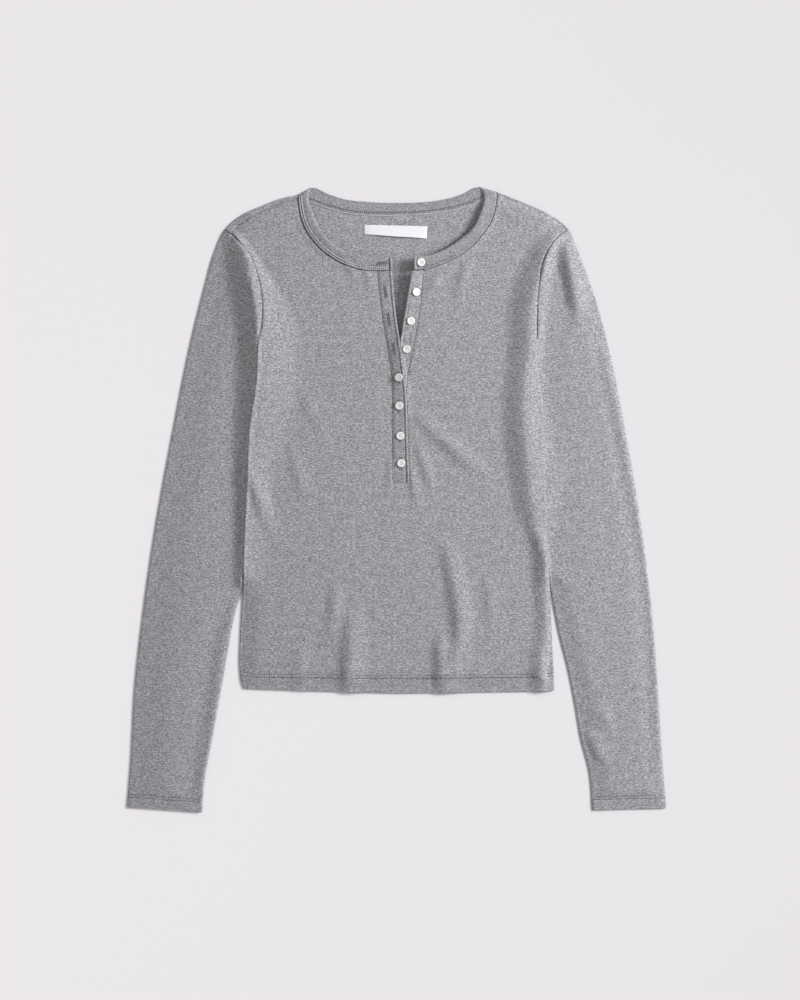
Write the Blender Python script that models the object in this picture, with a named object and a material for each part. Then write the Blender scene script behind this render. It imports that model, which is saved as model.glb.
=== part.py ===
"""A long-sleeved henley shirt laid flat on a table, front up, its neck towards +Y.

Each piece of cloth is a closed wall with a real thickness. The back lies on the table, the front
lies over it with a low hollow between them, and the sleeves are flattened tubes. "right" and
"left" are the wearer's sides: the right side lies at -X. Sizes are millimetres until a mesh is
made, and the origin is under the middle of the shirt, on the table.
"""

import bmesh
import bpy
import numpy as np
from mathutils import Vector

MM = 0.001
WELD = 1e-6

# Cloth and layers.
WALL = 1.2                   # jersey wall
HEM_WALL = 2.0               # turned-up hem or cuff, two thicknesses
BAND_WALL = 1.6              # doubled neckband
PLACKET_WALL = 1.4           # doubled placket strip
LABEL_WALL = 1.0
SEAM_GAP = 0.3               # between two pieces sewn together
FOLD_SPARE = 0.6             # added to the neckband's gap where it turns over the shoulder
EDGE_GAP = 0.6               # between a sleeve and the body beside it
TOP = 5.0                    # outer face of the upper layer above the table
BAND_TOP = 5.4
MID = 2.5                    # height of a folded edge
ROUND_UPPER = 6.0            # width of a fold's rounding on the upper layer
ROUND_UNDER = 3.0            # and on the layer that lies on the table
HEM_DEPTH = 16.0
CUFF_DEPTH = 14.5
HEM_LIFT = 0.4
HEM_STEP = 0.8               # length over which the wall thickens at a hem

# Mesh spacing.
UPPER_EDGE = (0.0, 1.2, 4.5)     # columns next to a fold, upper layer
UNDER_EDGE = (0.0, 1.0, 3.2)     # columns next to a fold, lower layer
COLUMNS = 7                      # even columns across half a panel, beyond those by its edge
LOW_ROWS = 11                    # front, from the hem to the slit's foot
SLIT_ROWS = 12                   # and from there to the underarm
SIDE_ROWS = 16                   # back, from the hem to the underarm
BACK_NECK_ROWS = 5               # back, rows that end on the neckline, below its top three
SLEEVE_ROWS = 20
ARM_ROWS = 15                    # even spaces up each armhole, between its foot and its top
ARM_CORNER = 8                   # the armhole's point, counted from the underarm, at a sleeve's grid corner
SLEEVE_OPPOSITE = 108.0          # down the outer fold from the armhole to opposite the underarm
PLACKET_ROWS = 24
PLACKET_COLUMNS = 6
SLEEVE_COLUMNS = 7
LABEL_COLUMNS = 6
BAND_COLUMNS = (0.0, 0.5, 1.0)   # shares across the neckband
NECK_FIRST = 4.0                 # front rows on the neckline: the first one's distance from the slit
NECK_LAST = 0.35                 # and the last one's, as a share of the seam's distance from the fold
BEND_ROWS = 3                    # rows over which the shoulder's curve dies out
FOLD_REACH = 5.0                 # how near to the shoulder fold the neckband's gap is wider
SPLIT_GAP = 4.0                  # along the sleeve, from its last point beside the body to its first free one
BUTTON_REACH = 3.0               # from a button's middle to where it touches the cloth
FAR = 1e3                        # farther from a hem than any cloth
NEARLY = 0.01
HEM_BOW = 1.4                    # sag of the hem's middle
HEM_BOW_REACH = 60.0

# The over placket climbs onto the under placket between these distances from its hidden edge.
CLIMB_START = 4.6
CLIMB_END = 1.2
CLIMB_SPARE = 0.2

LEAST_SINE = 0.35                # rows slanted more than this are spaced as if they weren't
CREASE_CLEAR = 9.0               # folds in the upper layer die out this close to an edge
DEEPEST_FOLD = -1.9              # where two folds meet they go no deeper
SPANS = 10                       # straight spans between two rows of a curve
SHARP = 0.7                      # edges bent more than this, in radians, stay sharp

# Buttons.
BUTTON_STEPS = 16
# Columns: distance from the axis, height above the button's underside.
BUTTON_PROFILE = ((0.0, 0.0), (3.7, 0.0), (4.55, 0.6), (4.45, 1.5), (3.9, 1.9), (3.2, 1.8), (2.7, 1.3),
                  (0.0, 1.2))
# Columns: x, y, the piece that the button lies on.
BUTTONS = ((26.8, 259.9, "neckband"), (21.3, 227.5, "under"), (15.7, 195.9, "under"),
           (10.8, 165.0, "under"), (2.6, 133.8, "over"), (3.0, 102.9, "over"),
           (4.2, 69.9, "over"), (5.0, 39.8, "over"))

# Edges. Columns: x, y. Each is a smooth curve through its rows.
OUTLINE = {                  # over the shoulder and down the sleeve's outer edge, neck to cuff
    "right": ((-108.5, 335.0), (-127, 331.0), (-149, 322.5), (-168, 314), (-181, 305), (-189, 296.5),
              (-200, 274.5), (-213, 230.5), (-227, 175.5), (-247, 76.5), (-267, -33.5), (-281, -132.5),
              (-289, -209.5), (-292.5, -286.5), (-296.4, -338)),
    "left": ((110.3, 338.2), (127, 331.5), (148, 323), (167, 314), (181, 305), (188.7, 298),
             (196.4, 280), (210.7, 241.5), (229.5, 175.5), (249, 76.5), (268, -33.5), (281, -132.5),
             (286.5, -209.5), (291.5, -286.5), (296.4, -338))}
OUTLINE_ARMHOLE = 5          # the outline's row where the armhole seam crosses it
ARMHOLE = {
    "right": ((-189, 296.5), (-181.4, 292), (-170, 280), (-159, 266), (-153, 249), (-148.3, 229.5),
              (-146.7, 206.5), (-148, 187), (-151.2, 173.2)),
    "left": ((188.7, 298), (175.5, 286.6), (166.3, 274), (160, 258.5), (156.3, 237), (154.6, 214),
             (154, 192), (154.2, 175.5))}
SIDE = {
    "right": ((-151.2, 173.2), (-154.6, 121.5), (-161, 81), (-163.7, 30), (-167.2, -45.5), (-169, -99.5),
              (-172, -154.5), (-172.5, -185.5), (-171, -203), (-167.5, -209.5)),
    "left": ((154.2, 175.5), (156, 139.5), (161, 106), (162.8, 47), (166.4, -53.5), (169, -99.5),
             (171, -154.5), (172.7, -199), (171, -210))}
# Where each sleeve's inner edge leaves the body's side.
SLEEVE_INNER = {
    "right": ((-169.6, -99.5), (-176.6, -121.5), (-185.4, -165.5), (-193, -209.5), (-203, -264.5),
              (-211.5, -312), (-214, -343.8)),
    "left": ((169.6, -99.5), (177.7, -143.5), (188.7, -187.5), (195.3, -220.5), (203, -264.5),
             (212, -300), (215.3, -341))}
NECKLINE = {
    "right": ((-4.2, 251.4), (-14.3, 251.1), (-38, 252.2), (-59.5, 259.1), (-78, 270.7), (-91.5, 284.4),
              (-101.8, 301), (-106.7, 318), (-108.5, 335.0)),
    "left": ((20.2, 251.2), (24.8, 251.9), (42.7, 257.3), (59.5, 264), (76.5, 274), (93, 291),
             (103.3, 306), (108.4, 323), (110.3, 338.2))}
BACK_NECKLINE = ((-108.5, 335.0), (-99.6, 331), (-85, 325.6), (-71.4, 320.7), (-56, 316.8), (-38, 314.6),
                 (0, 314), (42.4, 316.8), (64.4, 320.7), (83, 326.2), (98.5, 333.3), (110.3, 338.2))
BAND_FREE_FRONT = {
    "right": ((-5, 265.7), (-29, 267.3), (-54.5, 272.5), (-71.4, 282.5), (-84.8, 299.4), (-91.5, 314.5),
              (-94.8, 331.7), (-93, 342.7)),
    "left": ((20.4, 266.8), (32.5, 267.4), (51, 274), (68, 284.4), (83, 297.6), (92, 316), (95.2, 332.8),
             (93, 343.8))}
BAND_FREE_BACK = ((-93, 342.7), (-83, 339.8), (-73, 335.6), (-56, 330), (-37.6, 327.7), (1.7, 326.2),
                  (42.4, 328.4), (59.5, 332.2), (76.5, 338.9), (85, 342.7), (93, 343.8))
CENTRE = ((3.1, -211.2), (3.1, 22.6))
SLIT = {
    "right": ((3.1, 22.6), (2.6, 30), (2.0, 78.5), (1.9, 116), (-1.7, 160), (-6.1, 183), (-10.5, 212),
              (-14.3, 251.1)),
    "left": ((3.1, 22.6), (3.6, 30), (3.9, 78.5), (4.5, 115), (8.6, 144.5), (12.4, 164.5), (20, 205),
             (24.8, 251.9))}
PLACKET_OVER = {
    "right": ((-20.9, 250.4), (-16.7, 211), (-12.5, 183), (-5.3, 139), (-4.7, 78.5), (-3.9, 18.7)),
    "left": ((-4.8, 250.9), (-0.8, 205.5), (6.4, 156.3), (10.8, 116.5), (12.7, 59.5), (14.2, 18.4))}
PLACKET_UNDER = {
    "right": ((16.5, 250.4), (12.7, 228.5), (4.5, 178), (0.6, 131.5), (0.3, 78.5), (0.6, 23.7)),
    "left": ((30.5, 251.0), (25.9, 205.5), (18.4, 164), (12.3, 131.5), (11.3, 109.5), (12.1, 23.7))}
LABEL = {"right": ((-35.8, 291.5), (-35.2, 302)), "left": ((32.2, 287.3), (33, 300.5))}

# The shoulder seam lies forward of the fold. Columns: distance at the neck, distance at the armhole.
SHOULDER_SEAM = {"right": (4.0, 8.5), "left": (1.6, 2.2)}
# Distances up the armhole from the underarm at which the first rows of each layer cross it.
ARM_FOOT_UPPER = (0.0, 3.0, 8.0)
ARM_FOOT_UNDER = (0.0, 2.2, 6.0)
# Distances from the armhole's top, down to 0 there, at which rows cross it.
ARM_TOP = {"right": (8.5, 4.5, 1.2, 0.0), "left": (4.5, 2.2, 1.0, 0.0)}

# Largest folds in the upper layer. Columns: three points of its line, half width, rise.
FOLDS = (
    ((-178, 272), (-166, 190), (-170, 130), 9, -1.9),      # right sleeve beside the armhole
    ((-170, 130), (-178, 0), (-182, -100), 9, -1.6),       # and on down beside the body
    ((-158, 279), (-131, 224), (-139, 155), 11, 0.9),      # right breast, a ridge inside the armhole
    ((-150, 72), (-141, -10), (-125, -45), 10, -1.3),      # right waist, slanting inwards
    ((-146, 60), (-130, -10), (-112, -40), 11, 0.7),
    ((-116, 136), (-103, 104), (-89, 75), 8, -0.5),
    ((20, 85), (57, 54), (92, 29), 9, -1.1),               # from the placket's foot outwards
    ((20, 57), (26, 40), (29, 20), 7, -0.6),
    ((167, 279), (129, 201), (120, 131), 12, -1.5),        # left breast into the side
    ((120, 131), (134, 38), (152, -45), 11, -1.7),
    ((152, -45), (155, -120), (152, -193), 8, -1.0),
    ((148, 131), (151, 88), (152, 38), 7, 0.9),
    ((46, -45), (59, -105), (69, -166), 9, -1.3),          # above the hem, left of the middle
    ((64, -78), (72, -124), (77, -170), 8, 0.9),
    ((41, -161), (41, -182), (41, -202), 7, -0.8),
    ((97, -101), (97, -118), (97, -137), 9, -0.5),
    ((-77, -110), (-75, -128), (-74, -147), 8, -0.6),
    ((-63, -151), (-62, -174), (-63, -198), 7, -0.9),
    ((-57, -133), (-43, -161), (-40, -199), 8, 0.8),
    ((-172, 302), (-139, 299), (-107, 302), 9, -0.8),      # under each shoulder
    ((115, 310), (145, 302), (172, 293), 9, -0.8),
    ((83, 251), (72, 228), (56, 205), 8, -0.6),
    ((185, 274), (192, 240), (196, 205), 7, -1.1),         # left sleeve, top
    ((222, 163), (249, 15), (272, -101), 9, -0.7),
    ((182, 48), (176, 31), (169, 15), 8, -0.6),
    ((211, -230), (220, -259), (226, -285), 8, -1.0),      # left cuff
    ((-240, -40), (-232, -110), (-240, -190), 12, -0.5),   # right forearm
    ((-262, -260), (-240, -285), (-222, -300), 9, -0.6))

COLOURS = {"jersey": (0.32, 0.32, 0.34), "band": (0.34, 0.34, 0.36), "button": (0.80, 0.80, 0.76),
           "label": (0.90, 0.90, 0.89)}
ROUGHNESS = {"jersey": 0.95, "band": 0.95, "button": 0.30, "label": 0.80}


def spline(rows, steps=SPANS):
    """Dense points of a smooth curve through the rows, by cubic spans on chord length."""
    knots = np.array(rows, float)
    chord = np.linalg.norm(np.diff(knots, axis=0), axis=1)[:, None]
    slope = np.diff(knots, axis=0) / chord
    middle = (slope[:-1] * chord[1:] + slope[1:] * chord[:-1]) / (chord[:-1] + chord[1:])
    tangent = np.vstack([slope[:1], middle, slope[-1:]])
    t = np.linspace(0, 1, steps, endpoint=False)[:, None]
    spans = []
    for i, length in enumerate(chord):
        start = (2 * t**3 - 3 * t**2 + 1) * knots[i] + (t**3 - 2 * t**2 + t) * length * tangent[i]
        end = (3 * t**2 - 2 * t**3) * knots[i + 1] + (t**3 - t**2) * length * tangent[i + 1]
        spans.append(start + end)
    return np.vstack(spans + [knots[-1:]])


def run_of(curve):
    """Length along the curve at each of its points."""
    return np.concatenate([[0.0], np.cumsum(np.linalg.norm(np.diff(curve, axis=0), axis=1))])


def along(curve, shares):
    """Points at shares of the curve's length."""
    run = run_of(curve)
    wanted = np.asarray(shares) * run[-1]
    return np.stack([np.interp(wanted, run, curve[:, axis]) for axis in (0, 1)], axis=-1)


def left_of(curve, shares):
    """Unit vectors to the left of the curve's direction at shares of its length."""
    ahead = along(curve, np.clip(np.asarray(shares) + 0.005, 0, 1))
    behind = along(curve, np.clip(np.asarray(shares) - 0.005, 0, 1))
    step = (ahead - behind) / np.linalg.norm(ahead - behind, axis=-1, keepdims=True)
    return np.stack([-step[..., 1], step[..., 0]], axis=-1)


def hand(side):
    """+1 where cloth lies to the left of an outline drawn from neck to cuff, else -1."""
    return 1 if side == "right" else -1


SILHOUETTE = {side: spline(OUTLINE[side]) for side in OUTLINE}
SHOULDER = {side: SILHOUETTE[side][:OUTLINE_ARMHOLE * SPANS + 1] for side in OUTLINE}
SLEEVE_OUTER = {side: SILHOUETTE[side][OUTLINE_ARMHOLE * SPANS:] for side in OUTLINE}
ARMHOLE_SEAM = {side: spline(ARMHOLE[side]) for side in ARMHOLE}
BODY_SIDE = {side: spline(SIDE[side]) for side in SIDE}


def sleeve_inner_edge(side):
    """The sleeve's inner edge: beside the body down to where it leaves it, then free."""
    free = spline(SLEEVE_INNER[side])
    beside = BODY_SIDE[side][BODY_SIDE[side][:, 1] > free[0, 1] + SPLIT_GAP]
    beside = beside - [hand(side) * EDGE_GAP, 0]
    return np.vstack([beside, free])


SLEEVE_SIDE = {side: sleeve_inner_edge(side) for side in SIDE}
BODY_FOLDS = [(SILHOUETTE[s], hand(s)) for s in SILHOUETTE] + [(BODY_SIDE[s], hand(s)) for s in SIDE]
SLEEVE_FOLDS = {s: [(SILHOUETTE[s], hand(s)), (SLEEVE_SIDE[s], -hand(s))] for s in SIDE}
NEAR_EDGE = 0.5              # closer than this, a point just outside a fold counts as on it


def to_curve(points, curve):
    """Distance, offset and nearest span of the curve for each point."""
    start = curve[:-1]
    span = np.diff(curve, axis=0)
    offset = points[:, None, :] - start[None]
    share = np.clip((offset * span).sum(2) / (span**2).sum(1), 0, 1)
    gap = offset - share[..., None] * span
    distance = np.linalg.norm(gap, axis=2)
    nearest = distance.argmin(1)
    row = np.arange(len(points))
    return distance[row, nearest], gap[row, nearest], span[nearest]


def fold_distance(points, folds):
    """Distance to the nearest folded edge, and the direction from it into the cloth."""
    best = np.full(len(points), 1e9)
    inward = np.zeros((len(points), 2))
    for curve, side in folds:
        distance, gap, span = to_curve(points, curve)
        into = side * np.stack([-span[:, 1], span[:, 0]], axis=1) / np.linalg.norm(span, axis=1)[:, None]
        outside = ((gap * into).sum(1) <= 0) & (distance < NEAR_EDGE)
        distance = np.where(outside, 0.0, distance)
        direction = np.where((distance > 1e-3)[:, None], gap / np.maximum(distance, 1e-3)[:, None], into)
        closer = distance < best
        best = np.where(closer, distance, best)
        inward = np.where(closer[:, None], direction, inward)
    return best, inward


def rounding(distance, width):
    """Share of the full height at a distance inside a fold, and its slope: a quarter ellipse."""
    rest = np.clip(1 - distance / width, 0, 1)
    share = np.sqrt(1 - rest**2)
    return share, rest / (width * np.maximum(share, 1e-4))


def crease_height(points):
    """Rise of the folds at each point."""
    total = np.zeros(len(points))
    for first, second, third, width, rise in FOLDS:
        distance = to_curve(points, spline((first, second, third), steps=4))[0]
        total += rise * np.exp(-(distance / width)**2)
    return np.maximum(total, DEEPEST_FOLD)


def crease_slope(points, step=0.5):
    """Slope of the folds along x and y."""
    ends = [crease_height(points + move) - crease_height(points - move) for move in ((step, 0), (0, step))]
    return np.stack(ends, axis=1) / (2 * step)


def facing(slope, up):
    """Unit normals of a surface with this slope, facing up (+1) or down (-1)."""
    normal = np.column_stack([-slope * up, np.full(len(slope), float(up))])
    return normal / np.linalg.norm(normal, axis=1, keepdims=True)


def upper_face(points, folds, top=TOP, creased=True):
    """Outer face of the upper layer: points with height, and their normals."""
    distance, inward = fold_distance(points, folds)
    share, slope = rounding(distance, ROUND_UPPER)
    height = MID + (top - MID) * share
    total = ((top - MID) * slope)[:, None] * inward
    if creased:
        clear = np.clip(distance / CREASE_CLEAR, 0, 1)**2
        height += crease_height(points) * clear
        total += crease_slope(points) * clear[:, None]
    return np.column_stack([points, height]), facing(total, 1)


def under_face(points, folds):
    """Outer face of the layer on the table: points with height, and their normals."""
    distance, inward = fold_distance(points, folds)
    share, slope = rounding(distance, ROUND_UNDER)
    total = -(MID * slope)[:, None] * inward
    return np.column_stack([points, MID * (1 - share)]), facing(total, -1)


def new_material(name):
    """A plain finish for one kind of piece."""
    material = bpy.data.materials.new(name)
    material.use_nodes = True
    shader = material.node_tree.nodes["Principled BSDF"]
    shader.inputs["Base Color"].default_value = (*COLOURS[name], 1.0)
    shader.inputs["Roughness"].default_value = ROUGHNESS[name]
    shader.inputs["Metallic"].default_value = 0.0
    return material


def add_object(name, mesh, material):
    """Finish a bmesh as a named object."""
    data = bpy.data.meshes.new(name)
    mesh.to_mesh(data)
    mesh.free()
    data.materials.append(bpy.data.materials.get(material) or new_material(material))
    data.shade_smooth()
    data.set_sharp_from_angle(angle=SHARP)
    piece = bpy.data.objects.new(name, data)
    bpy.context.scene.collection.objects.link(piece)
    return piece


def add_cloth(name, patches, material):
    """Build a closed wall from patches that meet along shared rows or columns."""
    mesh = bmesh.new()
    behind = mesh.verts.layers.float_vector.new("behind")
    for outer, inner in patches:
        rows, columns = outer.shape[:2]
        grid = bmesh.ops.create_grid(mesh, x_segments=columns - 1, y_segments=rows - 1, size=1.0)
        for vert, near, far in zip(grid["verts"], outer.reshape(-1, 3), inner.reshape(-1, 3)):
            vert.co = Vector(near) * MM
            vert[behind] = Vector(far) * MM
    bmesh.ops.remove_doubles(mesh, verts=mesh.verts, dist=WELD)
    grown = bmesh.ops.extrude_face_region(mesh, geom=mesh.faces[:], use_keep_orig=True)
    for vert in grown["geom"]:
        if isinstance(vert, bmesh.types.BMVert):
            vert.co = vert[behind]
    bmesh.ops.recalc_face_normals(mesh, faces=mesh.faces)
    return add_object(name, mesh, material)


def spread(length, near, far, count):
    """Distances along a seam: close together at both ends as given, even between them."""
    middle = np.linspace(near[-1], length - far[0], count + 1)[1:-1]
    return np.concatenate([near, middle, length - np.array(far)])


def from_hem(length, depth, count):
    """Distances up from a hemmed edge: the hem, its step, then even."""
    return np.concatenate([[0.0, depth], np.linspace(depth + HEM_STEP, length, count)])


def at(curve, distances):
    """Points at distances along a curve."""
    return along(curve, np.asarray(distances) / run_of(curve)[-1])


def slant(edge, across):
    """How far along each row to go for each step straight in from the edge that the rows start on."""
    tangent = np.gradient(edge, axis=0)
    tangent /= np.linalg.norm(tangent, axis=1)[:, None]
    across = across / np.linalg.norm(across, axis=1)[:, None]
    sine = np.abs(tangent[:, 0] * across[:, 1] - tangent[:, 1] * across[:, 0])
    return 1 / np.maximum(sine, LEAST_SINE)


def ruled(starts, ends, near, count, far=(0.0,)):
    """Straight rows: columns at near distances from the starting edge, even ones, then far ones."""
    rows = []
    near_steps = slant(starts, ends - starts)
    far_steps = slant(ends, ends - starts)
    for start, end, near_step, far_step in zip(starts, ends, near_steps, far_steps):
        length = np.linalg.norm(end - start)
        distances = spread(length, np.array(near) * near_step, np.array(far) * far_step, count)
        rows.append(start + (end - start) * (distances / length)[:, None])
    return np.array(rows)


def bend(rows, index, wanted, reach):
    """Move row index onto the wanted points, and the reach rows on each side of it ever less."""
    away = np.abs(np.arange(len(rows)) - index)
    share = np.clip(1 - away / (reach + 1), 0, 1)**2
    return rows + share[:, None, None] * (wanted - rows[index])


def lay(rows, face, folds):
    """Heights and normals for a grid of plan points."""
    points, normals = face(rows.reshape(-1, 2), folds)
    return points.reshape(*rows.shape[:2], 3), normals.reshape(*rows.shape[:2], 3)


def wall(points, normals, thickness):
    """A patch of cloth: its outer points and the points behind them."""
    return points, points - normals * np.broadcast_to(thickness, points.shape[:2])[..., None]


def hemmed(points, normals, distance, depth, lift):
    """A patch whose wall thickens within a turned-up hem of this depth."""
    share = np.clip((depth + HEM_STEP - distance) / HEM_STEP, 0, 1)
    share = np.broadcast_to(share, points.shape[:2])
    raised = points + normals * (lift * share)[..., None]
    return wall(raised, normals, WALL + (HEM_WALL - WALL) * share)


def into_body(side, distances):
    """Unit vectors from the armhole seam, drawn upwards, into the body."""
    seam = ARMHOLE_SEAM[side][::-1]
    return -hand(side) * left_of(seam, np.asarray(distances) / run_of(seam)[-1])


def shoulder_line(side, share, neck, near, far):
    """A line forward of the shoulder fold, from the neck (share 0) to the armhole (share 1)."""
    fold = SHOULDER[side]
    share = np.asarray(share, float)
    width = (near + (far - near) * share)[:, None]
    line = along(fold, share) + hand(side) * left_of(fold, share) * width
    ends = along(fold, (0.0, 1.0)) + hand(side) * left_of(fold, (0.0, 1.0)) * np.array([[near], [far]])
    miss_neck = at(neck, (near,)) - ends[0]
    miss_arm = at(ARMHOLE_SEAM[side], (far,)) - ends[1]
    share = share[:, None]
    return line + miss_neck * (1 - share)**3 + miss_arm * share**3


def level(normals):
    """The same normals without their height, as on a folded edge."""
    flat = normals * (1, 1, 0)
    return flat / np.linalg.norm(flat, axis=-1, keepdims=True)


def underarm_normal(side):
    """The body's normal at the underarm, between those of its folded side and its armhole."""
    return np.array((-hand(side), -1.0, 0.0)) / np.sqrt(2)


def seam_shares(side):
    """Shares from the neck at which columns of the front and the back meet the shoulder seam."""
    length = run_of(SHOULDER[side])[-1]
    return 1 - spread(length, UPPER_EDGE, (0.0,), COLUMNS) / length


def row_shares(row):
    """Share of its length at each point of a row."""
    return run_of(row) / run_of(row)[-1]


NECK_SEAM = {side: spline(NECKLINE[side]) for side in NECKLINE}
NECK_START = {side: run_of(NECK_SEAM[side])[SPANS] for side in NECKLINE}     # the slit's corner: row 2
BACK_SEAM = {"right": spline(BACK_NECKLINE), "left": spline(BACK_NECKLINE)[::-1]}
BACK_MIDDLE = {side: 0.5 * run_of(BACK_SEAM[side])[-1] for side in BACK_SEAM}


def front_arm(side):
    """Distances up the armhole at which the upper layer's rows cross it."""
    return spread(run_of(ARMHOLE_SEAM[side])[-1], ARM_FOOT_UPPER, ARM_TOP[side], ARM_ROWS)


def front_neck(side):
    """Distances along the front neckline at which rows cross it, from the slit to the shoulder fold."""
    length = run_of(NECK_SEAM[side])[-1]
    near, far = SHOULDER_SEAM[side]
    rows = np.count_nonzero(front_arm(side) < run_of(ARMHOLE_SEAM[side])[-1] - far + NEARLY)
    even = np.linspace(NECK_START[side] + NECK_FIRST, length - near, rows - 1)
    return np.concatenate([[NECK_START[side]], even, length - near * np.array((NECK_LAST, 0.0))])


def back_arm(side):
    """Distances up the armhole at which the lower layer's rows cross it."""
    return spread(run_of(ARMHOLE_SEAM[side])[-1], ARM_FOOT_UNDER, UNDER_EDGE[::-1], ARM_ROWS)


def back_neck(side):
    """Distances along the back neckline from the shoulder fold at which rows cross it."""
    return np.concatenate([UNDER_EDGE, np.linspace(UNDER_EDGE[-1], BACK_MIDDLE[side], BACK_NECK_ROWS + 1)[1:]])


def front_half(side):
    """Half of the front: from its side and armhole to the centre, the slit and the neckline."""
    near, far = SHOULDER_SEAM[side]
    side_up = BODY_SIDE[side][::-1]
    length = run_of(side_up)[-1]
    split = 0.5 * length                       # the side's length below the slit's foot
    low = from_hem(split, HEM_DEPTH, LOW_ROWS)
    beside_slit = np.linspace(split, length, SLIT_ROWS + 1)[1:]
    arm_length = run_of(ARMHOLE_SEAM[side])[-1]
    arm = front_arm(side)[1:]
    arm = arm[arm < arm_length - far + NEARLY]
    outer = np.vstack([at(side_up, low), at(side_up, beside_slit), at(ARMHOLE_SEAM[side][::-1], arm)])
    slit = along(spline(SLIT[side]), np.linspace(0, 1, SLIT_ROWS + 1))[1:]
    neckline = at(NECK_SEAM[side], front_neck(side)[1:-2])
    centre = np.array(CENTRE)
    centre_low = from_hem(run_of(centre)[-1], HEM_DEPTH, LOW_ROWS)
    inner = np.vstack([at(centre, centre_low), slit, neckline])
    rows = ruled(outer, inner, UPPER_EDGE, COLUMNS)
    sag = HEM_BOW * np.clip(1 - centre_low / HEM_BOW_REACH, 0, 1)
    rows[:len(low), :, 1] -= sag[:, None] * np.sin(np.pi / 2 * row_shares(rows[0]))
    seam = shoulder_line(side, seam_shares(side), NECK_SEAM[side][::-1], near + SEAM_GAP / 2,
                         far + SEAM_GAP / 2)
    rows = bend(rows, len(rows) - 1, seam, BEND_ROWS)
    rows[-len(arm):, 0] += into_body(side, arm) * SEAM_GAP / 2
    points, normals = lay(rows, upper_face, BODY_FOLDS)
    points[..., 2] = np.maximum(points[..., 2], MID + SEAM_GAP / 2)
    folded = len(low) + SLIT_ROWS
    normals[:folded, 0] = level(normals[:folded, 0])
    normals[folded - 1, 0] = underarm_normal(side)
    distance = np.concatenate([low, np.full(len(rows) - len(low), FAR)])[:, None]
    return hemmed(points, normals, distance, HEM_DEPTH, HEM_LIFT)


def back_half(side):
    """Half of the back: flat on the table, then round the shoulder fold to the forward seam."""
    near, far = SHOULDER_SEAM[side]
    side_up = BODY_SIDE[side][::-1]
    length = run_of(side_up)[-1]
    low = from_hem(length, HEM_DEPTH, SIDE_ROWS)
    arm = back_arm(side)[1:]
    outer = np.vstack([at(side_up, low), at(ARMHOLE_SEAM[side][::-1], arm)])
    neckline = at(BACK_SEAM[side], back_neck(side)[::-1])
    below_neck = len(outer) - len(neckline)    # rows that end on the centre line
    centre_up = np.array((CENTRE[0], neckline[0]))
    underarm = SIDE["right"][0][1] - CENTRE[0][1]
    above = np.linspace(underarm, run_of(centre_up)[-1], below_neck - len(low) + 2)[1:-1]
    inner = np.vstack([at(centre_up, from_hem(underarm, HEM_DEPTH, SIDE_ROWS)), at(centre_up, above), neckline])
    rows = ruled(outer, inner, UNDER_EDGE, COLUMNS)
    for index, inset in ((-3, UNDER_EDGE[2]), (-2, UNDER_EDGE[1]), (-1, 0.0)):
        line = shoulder_line(side, seam_shares(side), BACK_SEAM[side], inset, inset)
        rows = bend(rows, len(rows) + index, line, BEND_ROWS if index == -3 else 0)
    rows[-len(arm):, 0] += into_body(side, arm) * SEAM_GAP / 2
    points, normals = lay(rows, under_face, BODY_FOLDS)
    points[:len(low), :, 2] = np.minimum(points[:len(low), :, 2], MID - SEAM_GAP / 2)
    normals[:len(low), 0] = level(normals[:len(low), 0])
    normals[len(low) - 1, 0] = underarm_normal(side)
    normals[-1] = level(normals[-1])
    distance = np.concatenate([low, np.full(len(rows) - len(low), FAR)])[:, None]
    lower, behind = hemmed(points, normals, distance, HEM_DEPTH, 0.0)

    over = []
    arm_steps = [step for step in ARM_TOP[side][::-1] if step < far + NEARLY]
    for step in arm_steps[1:]:
        share = step / far
        back_off = SEAM_GAP / 2 if step == arm_steps[-1] else 0.0
        line = shoulder_line(side, seam_shares(side), NECK_SEAM[side][::-1],
                             near * share - back_off, step - back_off)
        line[0] += into_body(side, (run_of(ARMHOLE_SEAM[side])[-1] - step,))[0] * SEAM_GAP / 2
        over.append(line)
    points, normals = lay(np.array(over), upper_face, BODY_FOLDS)
    top, under_top = wall(points, normals, WALL)
    return np.concatenate([lower, top]), np.concatenate([behind, under_top])


def sleeve_rows(side, arm, near, count, far):
    """Plan of one layer of a sleeve: rows from its armhole and inner fold to its outer fold."""
    seam = at(ARMHOLE_SEAM[side][::-1], arm) - into_body(side, arm) * SEAM_GAP / 2
    inner_run, outer_run = run_of(SLEEVE_SIDE[side])[-1], run_of(SLEEVE_OUTER[side])[-1]
    down = inner_run - from_hem(inner_run, CUFF_DEPTH, SLEEVE_ROWS)[::-1]
    inner = np.vstack([seam[ARM_CORNER:0:-1], at(SLEEVE_SIDE[side], down)])
    beside = np.linspace(0, SLEEVE_OPPOSITE, ARM_CORNER, endpoint=False)
    below = SLEEVE_OPPOSITE + down * (outer_run - SLEEVE_OPPOSITE) / inner_run
    rows = ruled(inner, at(SLEEVE_OUTER[side], np.concatenate([beside, below])), near, count, far)
    first = row_shares(seam[ARM_CORNER:])
    for index in range(ARM_CORNER):            # spaced as along the armhole, then as across the sleeve
        fade = index / ARM_CORNER
        share = first * (1 - fade) + row_shares(rows[index]) * fade
        rows[index] = rows[index, 0] + (rows[index, -1] - rows[index, 0]) * share[:, None]
    rows[0] = seam[ARM_CORNER:]
    return rows, inner_run - np.concatenate([np.zeros(ARM_CORNER), down])


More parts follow.
